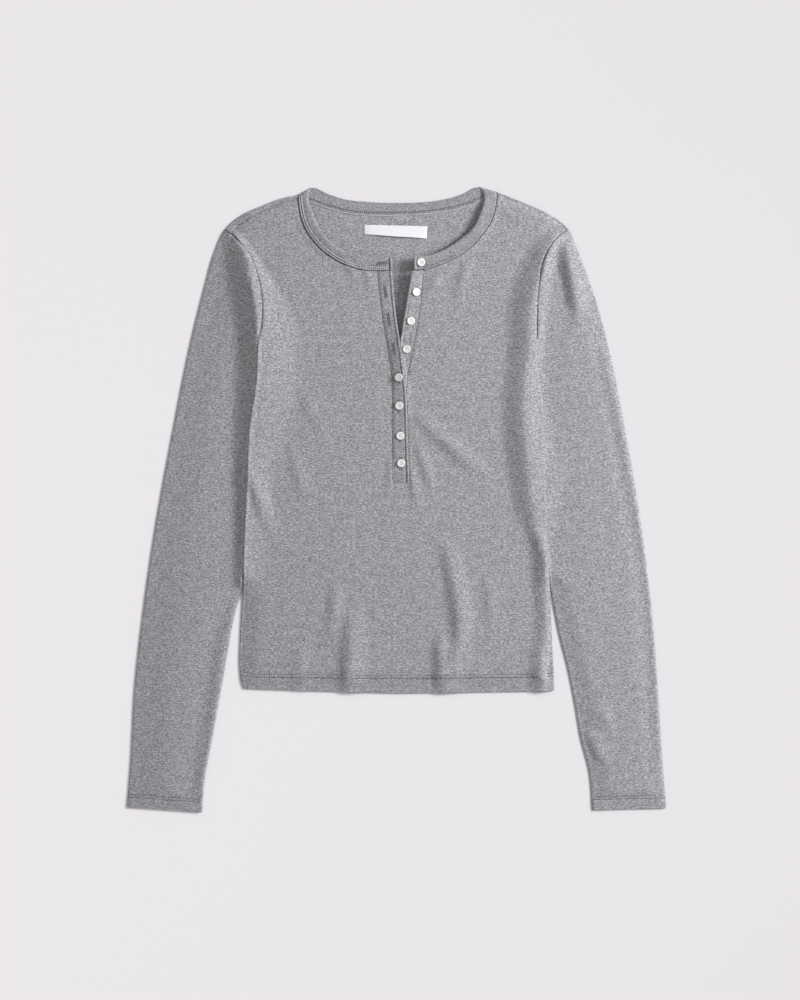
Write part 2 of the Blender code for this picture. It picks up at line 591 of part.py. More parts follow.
def sleeve(side):
    """A sleeve: a flattened tube from the armhole to its open cuff."""
    upper, distance = sleeve_rows(side, front_arm(side), UPPER_EDGE, SLEEVE_COLUMNS, ARM_TOP[side])
    lower, distance = sleeve_rows(side, back_arm(side), UNDER_EDGE, SLEEVE_COLUMNS, UNDER_EDGE[::-1])
    lower[:, -1] = upper[:, -1]
    top, top_normals = lay(upper, upper_face, SLEEVE_FOLDS[side])
    bottom, bottom_normals = lay(lower, under_face, SLEEVE_FOLDS[side])
    for fold in ((slice(ARM_CORNER, None), 0), (slice(None), -1)):
        top[(*fold, 2)] = bottom[(*fold, 2)] = MID
        bottom_normals[fold] = top_normals[fold] = level(top_normals[fold])
    top, top_behind = hemmed(top, top_normals, distance[:, None], CUFF_DEPTH, HEM_LIFT)
    bottom, bottom_behind = hemmed(bottom, bottom_normals, distance[:, None], CUFF_DEPTH, 0.0)
    for fold in ((slice(ARM_CORNER, None), 0), (slice(None), -1)):     # both layers share the folded edges
        bottom[fold], bottom_behind[fold] = top[fold], top_behind[fold]
    return [(top, top_behind), (bottom, bottom_behind)]


def band_folds():
    """The neckband's fold over each shoulder, drawn past both ends."""
    folds = []
    for side in ("right", "left"):
        seam_end = np.array(NECKLINE[side][-1])
        free_end = np.array(BAND_FREE_FRONT[side][-1])
        reach = free_end - seam_end
        folds.append((np.array((seam_end - reach, free_end + reach)), -hand(side)))
    return folds


def band_front(side):
    """Front stretch of the neckband, from the placket to the shoulder fold."""
    seam_curve, free_curve = NECK_SEAM[side], spline(BAND_FREE_FRONT[side])
    distances = np.concatenate([np.linspace(0, NECK_START[side], 2), front_neck(side)[1:]])
    seam = at(seam_curve, distances)
    free = along(free_curve, distances / distances[-1])
    return band_rows(seam, free)


def band_rows(seam, free):
    """Rows across the neckband, its seam edge drawn back from the panel it is sewn to."""
    across = (free - seam) / np.linalg.norm(free - seam, axis=1)[:, None]
    ends = np.array([NECKLINE[side][-1] for side in NECKLINE])
    from_fold = np.linalg.norm(seam[:, None] - ends[None], axis=2).min(1)
    start = seam + across * (SEAM_GAP + FOLD_SPARE * np.exp(-(from_fold / FOLD_REACH)**2))[:, None]
    share = np.array(BAND_COLUMNS)[None, :, None]
    return start[:, None] + (free - start)[:, None] * share


def neckband():
    """The whole neckband: up one front, over the shoulder, round the back and down the other front."""
    folds = band_folds()
    patches = []
    for side in ("right", "left"):
        rows = band_front(side)
        points, normals = lay(rows, lambda flat, edges: upper_face(flat, edges, BAND_TOP, False), folds)
        points[-1, :, 2] = MID
        normals[-1] = level(normals[-1])
        patches.append((points, normals))
    half = back_neck("right")
    whole = run_of(BACK_SEAM["right"])[-1]
    distances = np.concatenate([half, whole - half[-2::-1]])
    seam = at(BACK_SEAM["right"], distances)
    free = along(spline(BAND_FREE_BACK), distances / whole)
    points, normals = lay(band_rows(seam, free), under_face, folds)
    for end, (front, front_normals) in ((0, patches[0]), (-1, patches[1])):
        points[end], normals[end] = front[-1], front_normals[-1]
    patches.append((points, normals))
    add_cloth("neckband", [wall(p, n, BAND_WALL) for p, n in patches], "band")


def strip_rows(edges, rows, columns):
    """Rows across a placket strip, from its right edge to its left."""
    share = np.linspace(0, 1, rows + 1)
    return ruled(along(spline(edges["right"]), share), along(spline(edges["left"]), share), (0.0,), columns)


def under_lift(points):
    """Height of the under placket's face above the front panel."""
    return np.full(len(points), SEAM_GAP + PLACKET_WALL)


def over_lift(points):
    """Height of the over placket's face above the front panel: it climbs onto the under placket."""
    edge = spline(PLACKET_UNDER["right"])[::-1]
    under_x = np.interp(points[:, 1], edge[:, 1], edge[:, 0])
    past = np.clip((points[:, 0] - (under_x - CLIMB_START)) / (CLIMB_START - CLIMB_END), 0, 1)
    climb = (SEAM_GAP + PLACKET_WALL + CLIMB_SPARE) * past**2 * (3 - 2 * past)
    return SEAM_GAP + PLACKET_WALL + climb


def placket(name, edges, lift):
    """A placket strip laid on the front panel and moved out by its lift."""
    rows = strip_rows(edges, PLACKET_ROWS, PLACKET_COLUMNS)
    points, normals = lay(rows, upper_face, BODY_FOLDS)
    points[..., 2] += lift(rows.reshape(-1, 2)).reshape(rows.shape[:2])
    normals[:] = (0, 0, 1)
    add_cloth(name, [wall(points, normals, PLACKET_WALL)], "band")


def surface_height(x, y, layer):
    """Height of the face that a button lies on."""
    reach = BUTTON_REACH
    spots = np.array([(x, y), (x + reach, y), (x - reach, y), (x, y + reach), (x, y - reach)])
    if layer == "neckband":
        return BAND_TOP
    base = upper_face(spots, BODY_FOLDS)[0][:, 2]
    return float((base + (over_lift if layer == "over" else under_lift)(spots)).max())


def button(index, x, y, layer):
    """A turned button, its rim raised round a dished middle."""
    mesh = bmesh.new()
    profile = [mesh.verts.new(Vector((radius, 0, height)) * MM) for radius, height in BUTTON_PROFILE]
    edges = [mesh.edges.new(pair) for pair in zip(profile[:-1], profile[1:])]
    bmesh.ops.spin(mesh, geom=profile + edges, cent=(0, 0, 0), axis=(0, 0, 1), angle=2 * np.pi,
                   steps=BUTTON_STEPS, use_merge=True)
    bmesh.ops.remove_doubles(mesh, verts=mesh.verts, dist=WELD)
    bmesh.ops.recalc_face_normals(mesh, faces=mesh.faces)
    piece = add_object(f"button_{index}", mesh, "button")
    piece.location = Vector((x, y, surface_height(x, y, layer) + SEAM_GAP)) * MM


def neck_label():
    """The woven label inside the back, below the neckband."""
    ends = [np.array(LABEL[side]) for side in ("right", "left")]
    rows = ruled(ends[0], ends[1], (0.0,), LABEL_COLUMNS)
    height = WALL + SEAM_GAP + LABEL_WALL
    points = np.concatenate([rows, np.full((*rows.shape[:2], 1), height)], axis=2)
    normals = np.broadcast_to((0.0, 0.0, 1.0), points.shape)
    add_cloth("neck_label", [wall(points, normals, LABEL_WALL)], "label")


def main():
    """Build the shirt in an empty scene."""
    for old in list(bpy.data.objects):
        bpy.data.objects.remove(old)
    add_cloth("back_panel", [back_half(side) for side in ("right", "left")], "jersey")
    add_cloth("front_panel", [front_half(side) for side in ("right", "left")], "jersey")
    for side in ("right", "left"):
        add_cloth(f"{side}_sleeve", sleeve(side), "jersey")
    neckband()
    placket("placket_under", PLACKET_UNDER, under_lift)
    placket("placket_over", PLACKET_OVER, over_lift)
    for index, (x, y, layer) in enumerate(BUTTONS, 1):
        button(index, x, y, layer)
    neck_label()


main()
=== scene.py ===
"""Looks of a long-sleeved henley shirt laid flat, front up, its neck towards +Y.

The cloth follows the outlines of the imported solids, with thinner folded edges and with its creases.
Lengths are millimetres until a mesh is made. "right" and "left" are the wearer's: the right is at -X.
"""

import bmesh
import bpy
import numpy as np
from mathutils import Matrix, Vector, noise


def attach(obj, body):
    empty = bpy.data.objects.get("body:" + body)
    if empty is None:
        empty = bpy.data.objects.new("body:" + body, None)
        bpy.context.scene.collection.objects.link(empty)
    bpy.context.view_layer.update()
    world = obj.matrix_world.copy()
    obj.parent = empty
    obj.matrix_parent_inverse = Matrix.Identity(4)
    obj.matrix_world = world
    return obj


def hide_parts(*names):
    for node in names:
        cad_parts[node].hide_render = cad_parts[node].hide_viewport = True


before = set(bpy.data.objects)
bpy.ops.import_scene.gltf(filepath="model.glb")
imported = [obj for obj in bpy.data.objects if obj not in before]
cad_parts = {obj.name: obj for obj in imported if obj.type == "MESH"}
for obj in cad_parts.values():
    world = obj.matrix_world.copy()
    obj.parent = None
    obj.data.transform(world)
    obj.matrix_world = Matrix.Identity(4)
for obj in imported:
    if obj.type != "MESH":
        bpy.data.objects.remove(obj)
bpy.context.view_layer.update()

MM = 0.001
WELD = 1e-6
SIDES = ("right", "left")

# Cloth and layers.
WALL = 0.8
HEM_WALL = 0.9
BAND_WALL = 0.9
PLACKET_WALL = 0.9
EDGE_BEVEL = 0.4
BEVEL_ANGLE = 50
SEAM_GAP = 0.3               # between two pieces along their seam
FOLD_SPARE = 0.6             # and more of it where the neckband goes over a shoulder, over this far
FOLD_SPARE_REACH = 5.0
EDGE_GAP = 0.06              # between body and sleeve
TOP = 5.0                    # full height of the front and the sleeves
BAND_TOP = 6.2               # and of the neckband
MID = 0.75                   # height of a folded edge's outermost line
LOW_EDGE = 1.8               # height of the upper layer just inside a folded or hemmed edge
EDGE_REACH = 24.0            # from there it swells to its full height over this far
SLEEVE_REACH = 44.0          # and over this far on the right sleeve, which lies flatter
ROUND_UPPER = 3.2            # width of the rounding along a folded edge, above
ROUND_UNDER = 1.6            # and below
ROUND_JOINT = 2.2            # at the edges between body and sleeve
JOINT_DEPTH = 1.5            # the sleeve meets the body this far below it
JOINED_ABOVE = -98.0         # body and sleeve lie edge to edge above this y
HEM_DEPTH = 19.0
CUFF_DEPTH = 14.5
HEM_BOW = 1.4                # sag of the hem's lower edge in its middle
HEM_BOW_REACH = 60.0         # rows of the mesh up to this far above the edge follow it
CLIMB_SPARE = 0.15           # the over placket clears the under placket by this
CREASE_CLEAR = 9.0           # unevenness grows to its full size over this far from a fold
CREASES_AT_HEM = 0.5         # share of its rise that a crease has at a hem
CREST = 1.2                  # a crease is rounded this far to each side of its crest
LEAST_SINE = 0.35            # of the angle between a row and the edge that it starts on
SPANS = 10                   # points for each span of an edge
CREASE_SPANS = 6             # and of a crease
SLEEVE_LEAN = 9.0            # the sleeves' grain leans by this angle

COARSE = 1
NEAR_FOLD = (0.0, 0.3, 0.7, 1.2, 1.9, 2.9, 4.2, 6.0)
NEAR_SEAM = (0.0, 0.4, 0.9, 1.4, 1.9, 2.4, 2.9, 3.4, 4.0, 4.6, 5.4, 6.6)
AT_HEM = (0.0, 0.4, 1.0, 2.0, 4.0, 6.5, 8.6, 10.2, 11.2, 12.2, 13.3, 14.3, 15.1, 15.9, 16.7, 17.6, 18.4,
          19.2, 20.0, 22.4)
NEAR_ARMHOLE = (0.1, 0.22, 0.36, 0.54, 0.76)
SHOULDER_STEPS = (0.05, 0.12, 0.22, 0.36, 0.55, 0.78, 1.0)
AT_BAND_END = (0.0, 0.4, 0.9, 1.5, 2.1, 2.6, 3.0, 3.5, 4.2)
AT_PLACKET_END = (0.0, 0.5, 1.2)
PLACKET_RIGHT = (0.0, 0.3, 0.8, 1.5)
PLACKET_LEFT = (3.6, 3.1, 2.7, 2.3, 1.8, 1.3, 0.8, 0.3, 0.0)
PANEL_COLUMNS = 62 // COARSE
LOW_ROWS = 84 // COARSE
SLIT_ROWS = 60 // COARSE
ARM_ROWS = 50 // COARSE
FRONT_BEND = 20 // COARSE    # rows bent towards the shoulder seam
BACK_BEND = 16 // COARSE     # and towards the shoulder fold
SLEEVE_ROWS = 190 // COARSE
SLEEVE_COLUMNS = 20 // COARSE
CORNER_ROWS = 14 // COARSE
BAND_ROWS = 52 // COARSE
BACK_BAND_ROWS = 36 // COARSE
PLACKET_ROWS = 100 // COARSE
PLACKET_COLUMNS = 14
ARM_CORNER_RUN = 47.5        # up the armhole from the underarm, to the corner of a sleeve's grid
SLEEVE_OPPOSITE = 108.0      # down the sleeve's outer edge, to the row that starts at the underarm

# Edges. Columns: x, y.
OUTLINE = {
    "right": ((-108.5, 335.0), (-127, 331.0), (-149, 322.5), (-168, 314), (-181, 305), (-189, 296.5),
              (-199.4, 274.5), (-212, 230.5), (-225.7, 175.5), (-245.6, 76.5), (-265.6, -33.5),
              (-279.8, -132.5), (-288.2, -209.5), (-292.3, -286.5), (-296.4, -338)),
    "left": ((110.3, 338.2), (127, 331.5), (148, 323), (167, 314), (181, 305), (188.7, 298),
             (196.6, 280), (211.7, 241.5), (231.3, 175.5), (251.4, 76.5), (269.7, -33.5), (281.6, -132.5),
             (287.4, -209.5), (292.3, -286.5), (296.6, -339))}
OUTLINE_ARMHOLE = 5          # the outline's row at the armhole
ARMHOLE = {
    "right": ((-189, 296.5), (-181.4, 292), (-170, 280), (-159, 266), (-153, 249), (-148.3, 229.5),
              (-146.7, 206.5), (-148, 187), (-151.2, 173.2)),
    "left": ((188.7, 298), (175.5, 286.6), (166.3, 274), (160, 258.5), (156.3, 237), (154.6, 214),
             (154, 192), (154.2, 175.5))}
SIDE = {
    "right": ((-151.2, 173.2), (-154.6, 121.5), (-161, 81), (-163.7, 30), (-167.2, -45.5), (-169, -99.5),
              (-172, -154.5), (-172.5, -185.5), (-170.8, -200), (-168.4, -207.6)),
    "left": ((154.2, 175.5), (156, 139.5), (161, 106), (162.8, 47), (166.4, -53.5), (169, -99.5),
             (171, -154.5), (173.2, -199), (173.4, -209.9))}
SLEEVE_INNER = {
    "right": ((-169.6, -99.5), (-176.6, -121.5), (-185.4, -165.5), (-193, -209.5), (-203, -264.5),
              (-211.5, -312), (-214, -343.8)),
    "left": ((169.6, -99.5), (177.7, -143.5), (188.7, -187.5), (195.3, -220.5), (203, -264.5),
             (212, -300), (215.3, -341))}
SPLIT_GAP = 4.0              # the sleeve's edge leaves the body's this far above its first row
NECKLINE = {
    "right": ((-4.2, 251.4), (-14.3, 251.1), (-38, 252.2), (-59.5, 259.1), (-78, 270.7), (-91.5, 284.4),
              (-101.8, 301), (-106.7, 318), (-108.5, 335.0)),
    "left": ((19.0, 251.2), (24.8, 251.9), (42.7, 257.3), (59.5, 264), (76.5, 274), (93, 291),
             (103.3, 306), (108.4, 323), (110.3, 338.2))}
BACK_NECKLINE = ((-108.5, 335.0), (-99.6, 331), (-85, 325.6), (-71.4, 320.7), (-56, 316.8), (-38, 314.6),
                 (0, 314), (42.4, 316.8), (64.4, 320.7), (83, 326.2), (98.5, 333.3), (110.3, 338.2))
BAND_FREE_FRONT = {
    "right": ((-5, 265.7), (-29, 267.3), (-54.5, 272.5), (-71.4, 282.5), (-84.8, 299.4), (-91.5, 314.5),
              (-96.2, 332.5), (-94, 342.7)),
    "left": ((19.0, 266.8), (32.5, 267.4), (51, 274), (68, 284.4), (83, 297.6), (92, 316), (95.6, 333.2),
             (91, 343.7))}
BAND_FREE_BACK = ((-94, 342.7), (-89.5, 342.5), (-85.5, 341.1), (-80.5, 338.6), (-73, 335.2), (-56, 330),
                  (-37.6, 327.7), (1.7, 326.2), (42.4, 328.4), (59.5, 331.8), (76.5, 337.8),
                  (84.5, 342.4), (91, 343.7))
CENTRE = ((3.1, -211.2), (3.1, 22.6))
SLIT = {
    "right": ((3.1, 22.6), (2.6, 30), (2.0, 78.5), (1.9, 116), (-1.7, 160), (-6.1, 183), (-10.5, 212),
              (-14.3, 251.1)),
    "left": ((3.1, 22.6), (3.6, 30), (3.9, 78.5), (4.5, 115), (8.6, 144.5), (12.4, 164.5), (20, 205),
             (24.8, 251.9))}
PLACKET_OVER = {
    "right": ((-20.9, 250.4), (-16.7, 211), (-12.5, 183), (-5.3, 139), (-4.7, 78.5), (-3.9, 18.7)),
    "left": ((-4.8, 250.9), (-0.8, 205.5), (6.4, 156.3), (10.8, 116.5), (12.7, 59.5), (14.2, 18.4))}
PLACKET_UNDER = {
    "right": ((16.5, 250.4), (12.7, 228.5), (4.5, 178), (0.6, 131.5), (0.3, 78.5), (0.6, 23.7)),
    "left": ((30.5, 251.0), (25.9, 205.5), (18.4, 164), (12.3, 131.5), (11.3, 109.5), (12.1, 23.7))}
SHOULDER_SEAM = {"right": (4.0, 8.5), "left": (1.6, 2.2)}

# Creases of the upper layer, each a soft crest drawn from its upper end.
# Columns: x, y, width of its shaded side (towards -X or -Y), width of its sunny side, rise.
CREASES = (
    ((-186, 298, 14, 6, 0), (-173, 282, 23, 8, 7.5), (-163.5, 262, 27, 12, 12), (-157.5, 233, 26, 26, 13.2),
     (-153.5, 210, 26, 38, 13.8), (-151.5, 180, 27, 48, 13.8), (-154, 121, 22, 50, 11.4),
     (-160.5, 79, 18, 42, 8.4), (-163, 30, 13, 30, 6.8), (-166, -34, 8, 26, 5), (-168.5, -90, 12, 24, 4.2)),
    ((-164, 256, 6, 2, 0), (-157.5, 233, 8, 3, 1.2), (-153.5, 210, 8, 3, 1.6), (-151.5, 180, 8, 3, 1.7),
     (-154, 121, 8, 3, 1.8), (-160.5, 79, 8, 3, 1.8), (-163, 30, 8, 3, 1.8), (-166, -34, 6, 3, 1.8),
     (-168.5, -90, 8, 3, 1.4)),                                                          # right armhole, side
    ((-163, 36, 7, 9, 0.4), (-157, 20, 8, 11, 3.4), (-153, 8, 9, 13, 4.8), (-149, -5, 9, 14, 4.4),
     (-144, -21, 9, 14, 2.2), (-136, -38, 9, 12, 1.2), (-125, -54, 8, 10, 0)),           # right waist
    ((185, 296, 8, 7, 1.5), (174, 284, 18, 8, 6), (167, 271, 24, 9, 8.6), (161, 252, 28, 12, 10),
     (151, 228, 28, 18, 9.4), (146, 197, 27, 24, 9), (146, 172, 27, 18, 8.6), (140, 126, 25, 24, 7.8),
     (140, 82, 26, 32, 8.6), (144, 38, 26, 38, 8.4), (149, -6, 22, 36, 7), (154, -39, 14, 24, 4.2),
     (157, -60, 8, 8, 0)),                                                               # left side
    ((157, -30, 10, 6, 0), (162, -60, 16, 6, 7.5), (164, -111, 16, 6, 7), (164, -150, 15, 7, 5.6),
     (160, -178, 15, 8, 6), (161, -212, 16, 9, 6)),                                      # left side, hip
    ((184, 290, 6, 8, 0), (188.5, 268, 12, 22, 6.8), (192, 250, 13, 24, 7.8), (196.5, 219, 12, 20, 6.2),
     (199, 202, 9, 14, 2), (201, 188, 6, 8, 0)),                                         # left sleeve cap
    ((167, 262, 5, 2.2, 0), (165.6, 252, 5, 2.2, 0.7), (164, 236, 5, 2.2, 0.8), (161.7, 214, 4.5, 2.2, 0.8),
     (159, 192, 3.5, 2.2, 0.7), (157, 180, 3, 2, 0)),                                    # its seam allowance
    ((222, 178, 6, 8, 0), (230, 150, 8, 10, 2.6), (249, 65, 9, 10, 3.4), (259, 10, 9, 10, 3),
     (268, -34, 10, 10, 2.4), (281, -133, 10, 9, 2.2), (286, -220, 10, 8, 2.2), (288, -290, 10, 8, 2.4),
     (288, -320, 10, 8, 0.8)),                                                           # left sleeve, outer
    ((211, -250, 4, 8, 0), (215, -266, 6, 10, 2.4), (222, -280, 6, 11, 2.4), (232, -292, 4, 8, 0)),
    ((222, -220, 7, 9, 0), (228, -240, 9, 11, 2.2), (240, -264, 8, 8, 0)),
    ((-2.5, 208, 12, 2, 0), (1.5, 190, 15, 2.2, 1.6), (5.2, 165, 17, 2.4, 2.6), (8.6, 138, 17, 2.4, 2.8),
     (11.4, 112, 16, 2.2, 1.8), (12.6, 90, 14, 2, 0.6), (13, 75, 12, 2, 0)),             # over placket's edge
    ((186, 55, 6, 8, 0), (177, 26, 9, 10, 1.7), (166, 2, 6, 6, 0)),
    ((-175, -100, 8, 5, 0), (-182, -130, 12, 6, 2.4), (-190, -166, 13, 6, 3), (-200, -232, 13, 6, 3),
     (-208, -276, 12, 6, 2.6), (-214, -318, 10, 6, 1.8), (-216, -335, 8, 6, 1)),         # right forearm
    ((-66, -80, 9, 10, 0), (-68, -112, 11, 12, 2.6), (-70, -140, 10, 11, 1.6), (-72, -160, 9, 10, 0)),  # hem
    ((-48, -115, 10, 14, 0), (-49, -142, 14, 20, 3.2), (-51, -171, 15, 22, 5.2), (-53, -213, 14, 22, 5)),
    ((-106, -150, 14, 8, 0), (-104, -180, 16, 10, 1.8), (-103, -213, 15, 9, 1.6)),
    ((50, -38, 8, 10, 0), (58, -66, 12, 16, 3), (65, -100, 13, 18, 4.8), (69, -135, 13, 19, 5.4),
     (68, -165, 12, 18, 3.4), (64, -190, 10, 14, 1)),
    ((47, -140, 8, 14, 0), (49, -165, 12, 24, 4.4), (50, -190, 13, 26, 5.4), (51, -213, 13, 25, 5)),
    ((101, -82, 10, 9, 0), (103, -112, 11, 10, 2), (104, -152, 9, 9, 0)),
    ((18, 96, 6, 8, 0), (34, 81, 10, 13, 2.6), (60, 58, 11, 15, 3.2), (84, 38, 10, 13, 2),
     (104, 24, 8, 8, 0)),
    ((19, 74, 5, 6, 0), (27, 48, 8, 10, 2.2), (36, 22, 7, 9, 1.4), (42, 0, 5, 6, 0)),    # placket's foot
    ((15, 62, 4, 6, 0), (16, 28, 4, 8, 1.6), (20, 5, 4, 7, 1.1), (26, -14, 4, 6, 0)),
    ((-5, 52, 4, 3, 0), (-6, 34, 6, 3, 1.3), (-8, 12, 6, 4, 1.1), (-9, -2, 4, 3, 0)),
    ((-64, 270, 5, 6, 0), (-52, 254, 6, 8, 1.4), (-40, 236, 5, 6, 0)),                   # below the neckband
    ((-42, 264, 5, 6, 0), (-32, 244, 6, 8, 1.3), (-26, 222, 5, 6, 0)),
    ((82, 270, 7, 8, 0), (73, 245, 10, 10, 1.9), (67, 212, 8, 8, 0)),
    ((54, 262, 6, 7, 0), (42, 242, 8, 9, 1.3), (34, 216, 6, 7, 0)),
    ((-176, 309, 7, 9, 0), (-160, 309, 9, 11, 2.6), (-141, 309, 9, 11, 2), (-106, 312, 7, 9, 0.6)),
    ((112, 318, 9, 8, 0.8), (135, 316, 14, 11, 3.2), (160, 310, 14, 11, 3.6), (180, 301, 8, 8, 0)),
    ((-111, 128, 8, 9, 0), (-96, 103, 10, 11, 1.6), (-76, 58, 8, 9, 0)),
    ((-118, 62, 8, 9, 0), (-106, 22, 10, 12, 1.8), (-94, -16, 8, 9, 0)),
    ((-95, 331, 14, 4, 0.4), (-91.5, 314, 17, 4, 1.8), (-85, 299, 19, 4, 2.6), (-71, 282, 19, 4, 2.8),
     (-54, 272, 17, 4, 2.2), (-29, 267, 14, 4, 1.2), (-5, 266, 12, 4, 0.6)),             # along the neckband
    ((95, 333, 4, 20, 0.6), (92, 316, 4, 23, 2.4), (83, 298, 4, 25, 3.2), (68, 284, 4, 22, 3.2),
     (51, 274, 4, 19, 3.2), (32, 267.5, 4, 16, 4.6), (19, 266.5, 3, 14, 7), (16, 250, 3, 14, 7.2),
     (12.5, 228, 3, 14, 5), (8.5, 205, 3, 13, 2.8), (4.5, 178, 3, 12, 1.3), (2, 160, 3, 10, 0)))


def spline(rows, steps=SPANS):
    """Dense points of a smooth curve through the rows, by cubic spans on chord length."""
    knots = np.array(rows, float)
    chord = np.linalg.norm(np.diff(knots, axis=0), axis=1)[:, None]
    slope = np.diff(knots, axis=0) / chord
    middle = (slope[:-1] * chord[1:] + slope[1:] * chord[:-1]) / (chord[:-1] + chord[1:])
    tangent = np.vstack([slope[:1], middle, slope[-1:]])
    t = np.linspace(0, 1, steps, endpoint=False)[:, None]
    spans = []
    for i, length in enumerate(chord):
        start = (2 * t**3 - 3 * t**2 + 1) * knots[i] + (t**3 - 2 * t**2 + t) * length * tangent[i]
        end = (3 * t**2 - 2 * t**3) * knots[i + 1] + (t**3 - t**2) * length * tangent[i + 1]
        spans.append(start + end)
    return np.vstack(spans + [knots[-1:]])


def run_of(curve):
    """Length along the curve at each of its points."""
    return np.concatenate([[0.0], np.cumsum(np.linalg.norm(np.diff(curve, axis=0), axis=1))])


def length_of(curve):
    """Whole length of the curve."""
    return run_of(curve)[-1]


def shares_of(curve):
    """Share of the curve's length at each of its points."""
    return run_of(curve) / length_of(curve)


def along(curve, shares):
    """Points at shares of the curve's length."""
    run = run_of(curve)
    wanted = np.asarray(shares) * run[-1]
    return np.stack([np.interp(wanted, run, curve[:, axis]) for axis in (0, 1)], axis=-1)


def at(curve, distances):
    """Points at distances along a curve."""
    return along(curve, np.asarray(distances) / length_of(curve))


def left_of(curve, shares):
    """Unit vectors to the left of the curve's direction at shares of its length."""
    ahead = along(curve, np.clip(np.asarray(shares) + 0.005, 0, 1))
    behind = along(curve, np.clip(np.asarray(shares) - 0.005, 0, 1))
    step = (ahead - behind) / np.linalg.norm(ahead - behind, axis=-1, keepdims=True)
    return np.stack([-step[..., 1], step[..., 0]], axis=-1)


def hand(side):
    """+1 where cloth lies to the left of an outline drawn from neck to cuff, else -1."""
    return 1 if side == "right" else -1


def splines(edges):
    """The smooth curve of an edge on each side."""
    return {side: spline(rows) for side, rows in edges.items()}


SILHOUETTE = splines(OUTLINE)
SHOULDER = {side: SILHOUETTE[side][:OUTLINE_ARMHOLE * SPANS + 1] for side in SIDES}
SLEEVE_OUTER = {side: SILHOUETTE[side][OUTLINE_ARMHOLE * SPANS:] for side in SIDES}
ARMHOLE_SEAM = splines(ARMHOLE)
BODY_SIDE = splines(SIDE)
NECK_SEAM = splines(NECKLINE)
NECK_START = {side: run_of(NECK_SEAM[side])[SPANS] for side in SIDES}
BACK_SEAM = {"right": spline(BACK_NECKLINE), "left": spline(BACK_NECKLINE)[::-1]}
FREE_EDGE = splines(BAND_FREE_FRONT)
BACK_FREE_EDGE = spline(BAND_FREE_BACK)
PLACKET_EDGES = {"placket_over": splines(PLACKET_OVER), "placket_under": splines(PLACKET_UNDER)}


def sleeve_inner_edge(side):
    """The sleeve's inner edge: beside the body down to where it leaves it, then free."""
    free = spline(SLEEVE_INNER[side])
    beside = BODY_SIDE[side][BODY_SIDE[side][:, 1] > free[0, 1] + SPLIT_GAP]
    beside = beside - [hand(side) * EDGE_GAP, 0]
    return np.vstack([beside, free])


SLEEVE_SIDE = {side: sleeve_inner_edge(side) for side in SIDES}
OUTER_FOLDS = [(SILHOUETTE[side], hand(side)) for side in SIDES]
SIDE_FOLDS = [(BODY_SIDE[side], hand(side)) for side in SIDES]
INNER_FOLDS = {side: [(SLEEVE_SIDE[side], -hand(side))] for side in SIDES}
NEAR_EDGE = 0.5              # a point this little outside a fold counts as on it
FAR = 1e3                    # stands for the distance to an edge that isn't there
BLOCK = 4000                 # points worked on at once, so that little memory is needed


def to_curve(points, curve):
    """Distance, offset, nearest span and run along the curve for each point."""
    start, span = curve[:-1], np.diff(curve, axis=0)
    run = run_of(curve)
    size = (span**2).sum(1)
    parts = []
    for first in range(0, len(points), BLOCK):
        block = points[first:first + BLOCK]
        offset = block[:, None, :] - start[None]
        share = np.clip((offset * span).sum(2) / size, 0, 1)
        gap = offset - share[..., None] * span
        distance = np.linalg.norm(gap, axis=2)
        nearest = distance.argmin(1)
        row = np.arange(len(block))
        along_it = run[nearest] + share[row, nearest] * np.sqrt(size[nearest])
        parts.append((distance[row, nearest], gap[row, nearest], span[nearest], along_it))
    return [np.concatenate(column) for column in zip(*parts)]


def fold_distance(points, folds):
    """Distance to the nearest folded edge."""
    best = np.full(len(points), FAR)
    for curve, side in folds:
        distance, gap, span, _ = to_curve(points, curve)
        into = side * np.stack([-span[:, 1], span[:, 0]], axis=1)
        outside = ((gap * into).sum(1) <= 0) & (distance < NEAR_EDGE)
        best = np.minimum(best, np.where(outside, 0.0, distance))
    return best


def rounding(distance, width):
    """Share of the full height at a distance inside a fold: a quarter ellipse."""
    return np.sqrt(1 - np.clip(1 - distance / width, 0, 1)**2)


def rolled(distance, drop, width):
    """How far a folded edge comes down."""
    return drop * (1 - rounding(distance, width))


def smooth(share):
    """From 0 to 1 with level ends."""
    share = np.clip(share, 0, 1)
    return share * share * (3 - 2 * share)


def inside_box(points, low, high):
    """Indices of the points in a box."""
    return np.flatnonzero(((points > low) & (points < high)).all(1))


def crease_rise(points):
    """Rise of the upper layer's creases at each point."""
    total = np.zeros(len(points))
    for rows in CREASES:
        rows = np.array(rows, float)
        reach = rows[:, 2:4].max() + 1
        near = inside_box(points, rows[:, :2].min(0) - reach, rows[:, :2].max(0) + reach)
        if not len(near):
            continue
        line = spline(rows[:, :2], CREASE_SPANS)
        distance, gap, span, run = to_curve(points[near], line)
        sunny = span[:, 0] * gap[:, 1] - span[:, 1] * gap[:, 0] > 0
        at_rows = run_of(line)[::CREASE_SPANS]
        shaded_width, sunny_width, rise = (np.interp(run, at_rows, rows[:, column]) for column in (2, 3, 4))
        distance = np.hypot(distance, CREST) - CREST
        share = np.clip(distance / np.where(sunny, sunny_width, shaded_width), 0, 1)
        total[near] += rise * (0.25 + 0.25 * np.cos(np.pi * share) + 0.5 * (1 - share)**1.5)
    return total


def fold_rise(points, folds):
    """Rise of the cloth's folds at each point: smooth humps along short curves."""
    total = np.zeros(len(points))
    for first, second, third, width, rise in folds:
        line = spline((first, second, third), CREASE_SPANS)
        near = inside_box(points, line.min(0) - 3 * width, line.max(0) + 3 * width)
        if len(near):
            distance = to_curve(points[near], line)[0]
            total[near] += rise * np.exp(-(distance / width)**2)
    return total


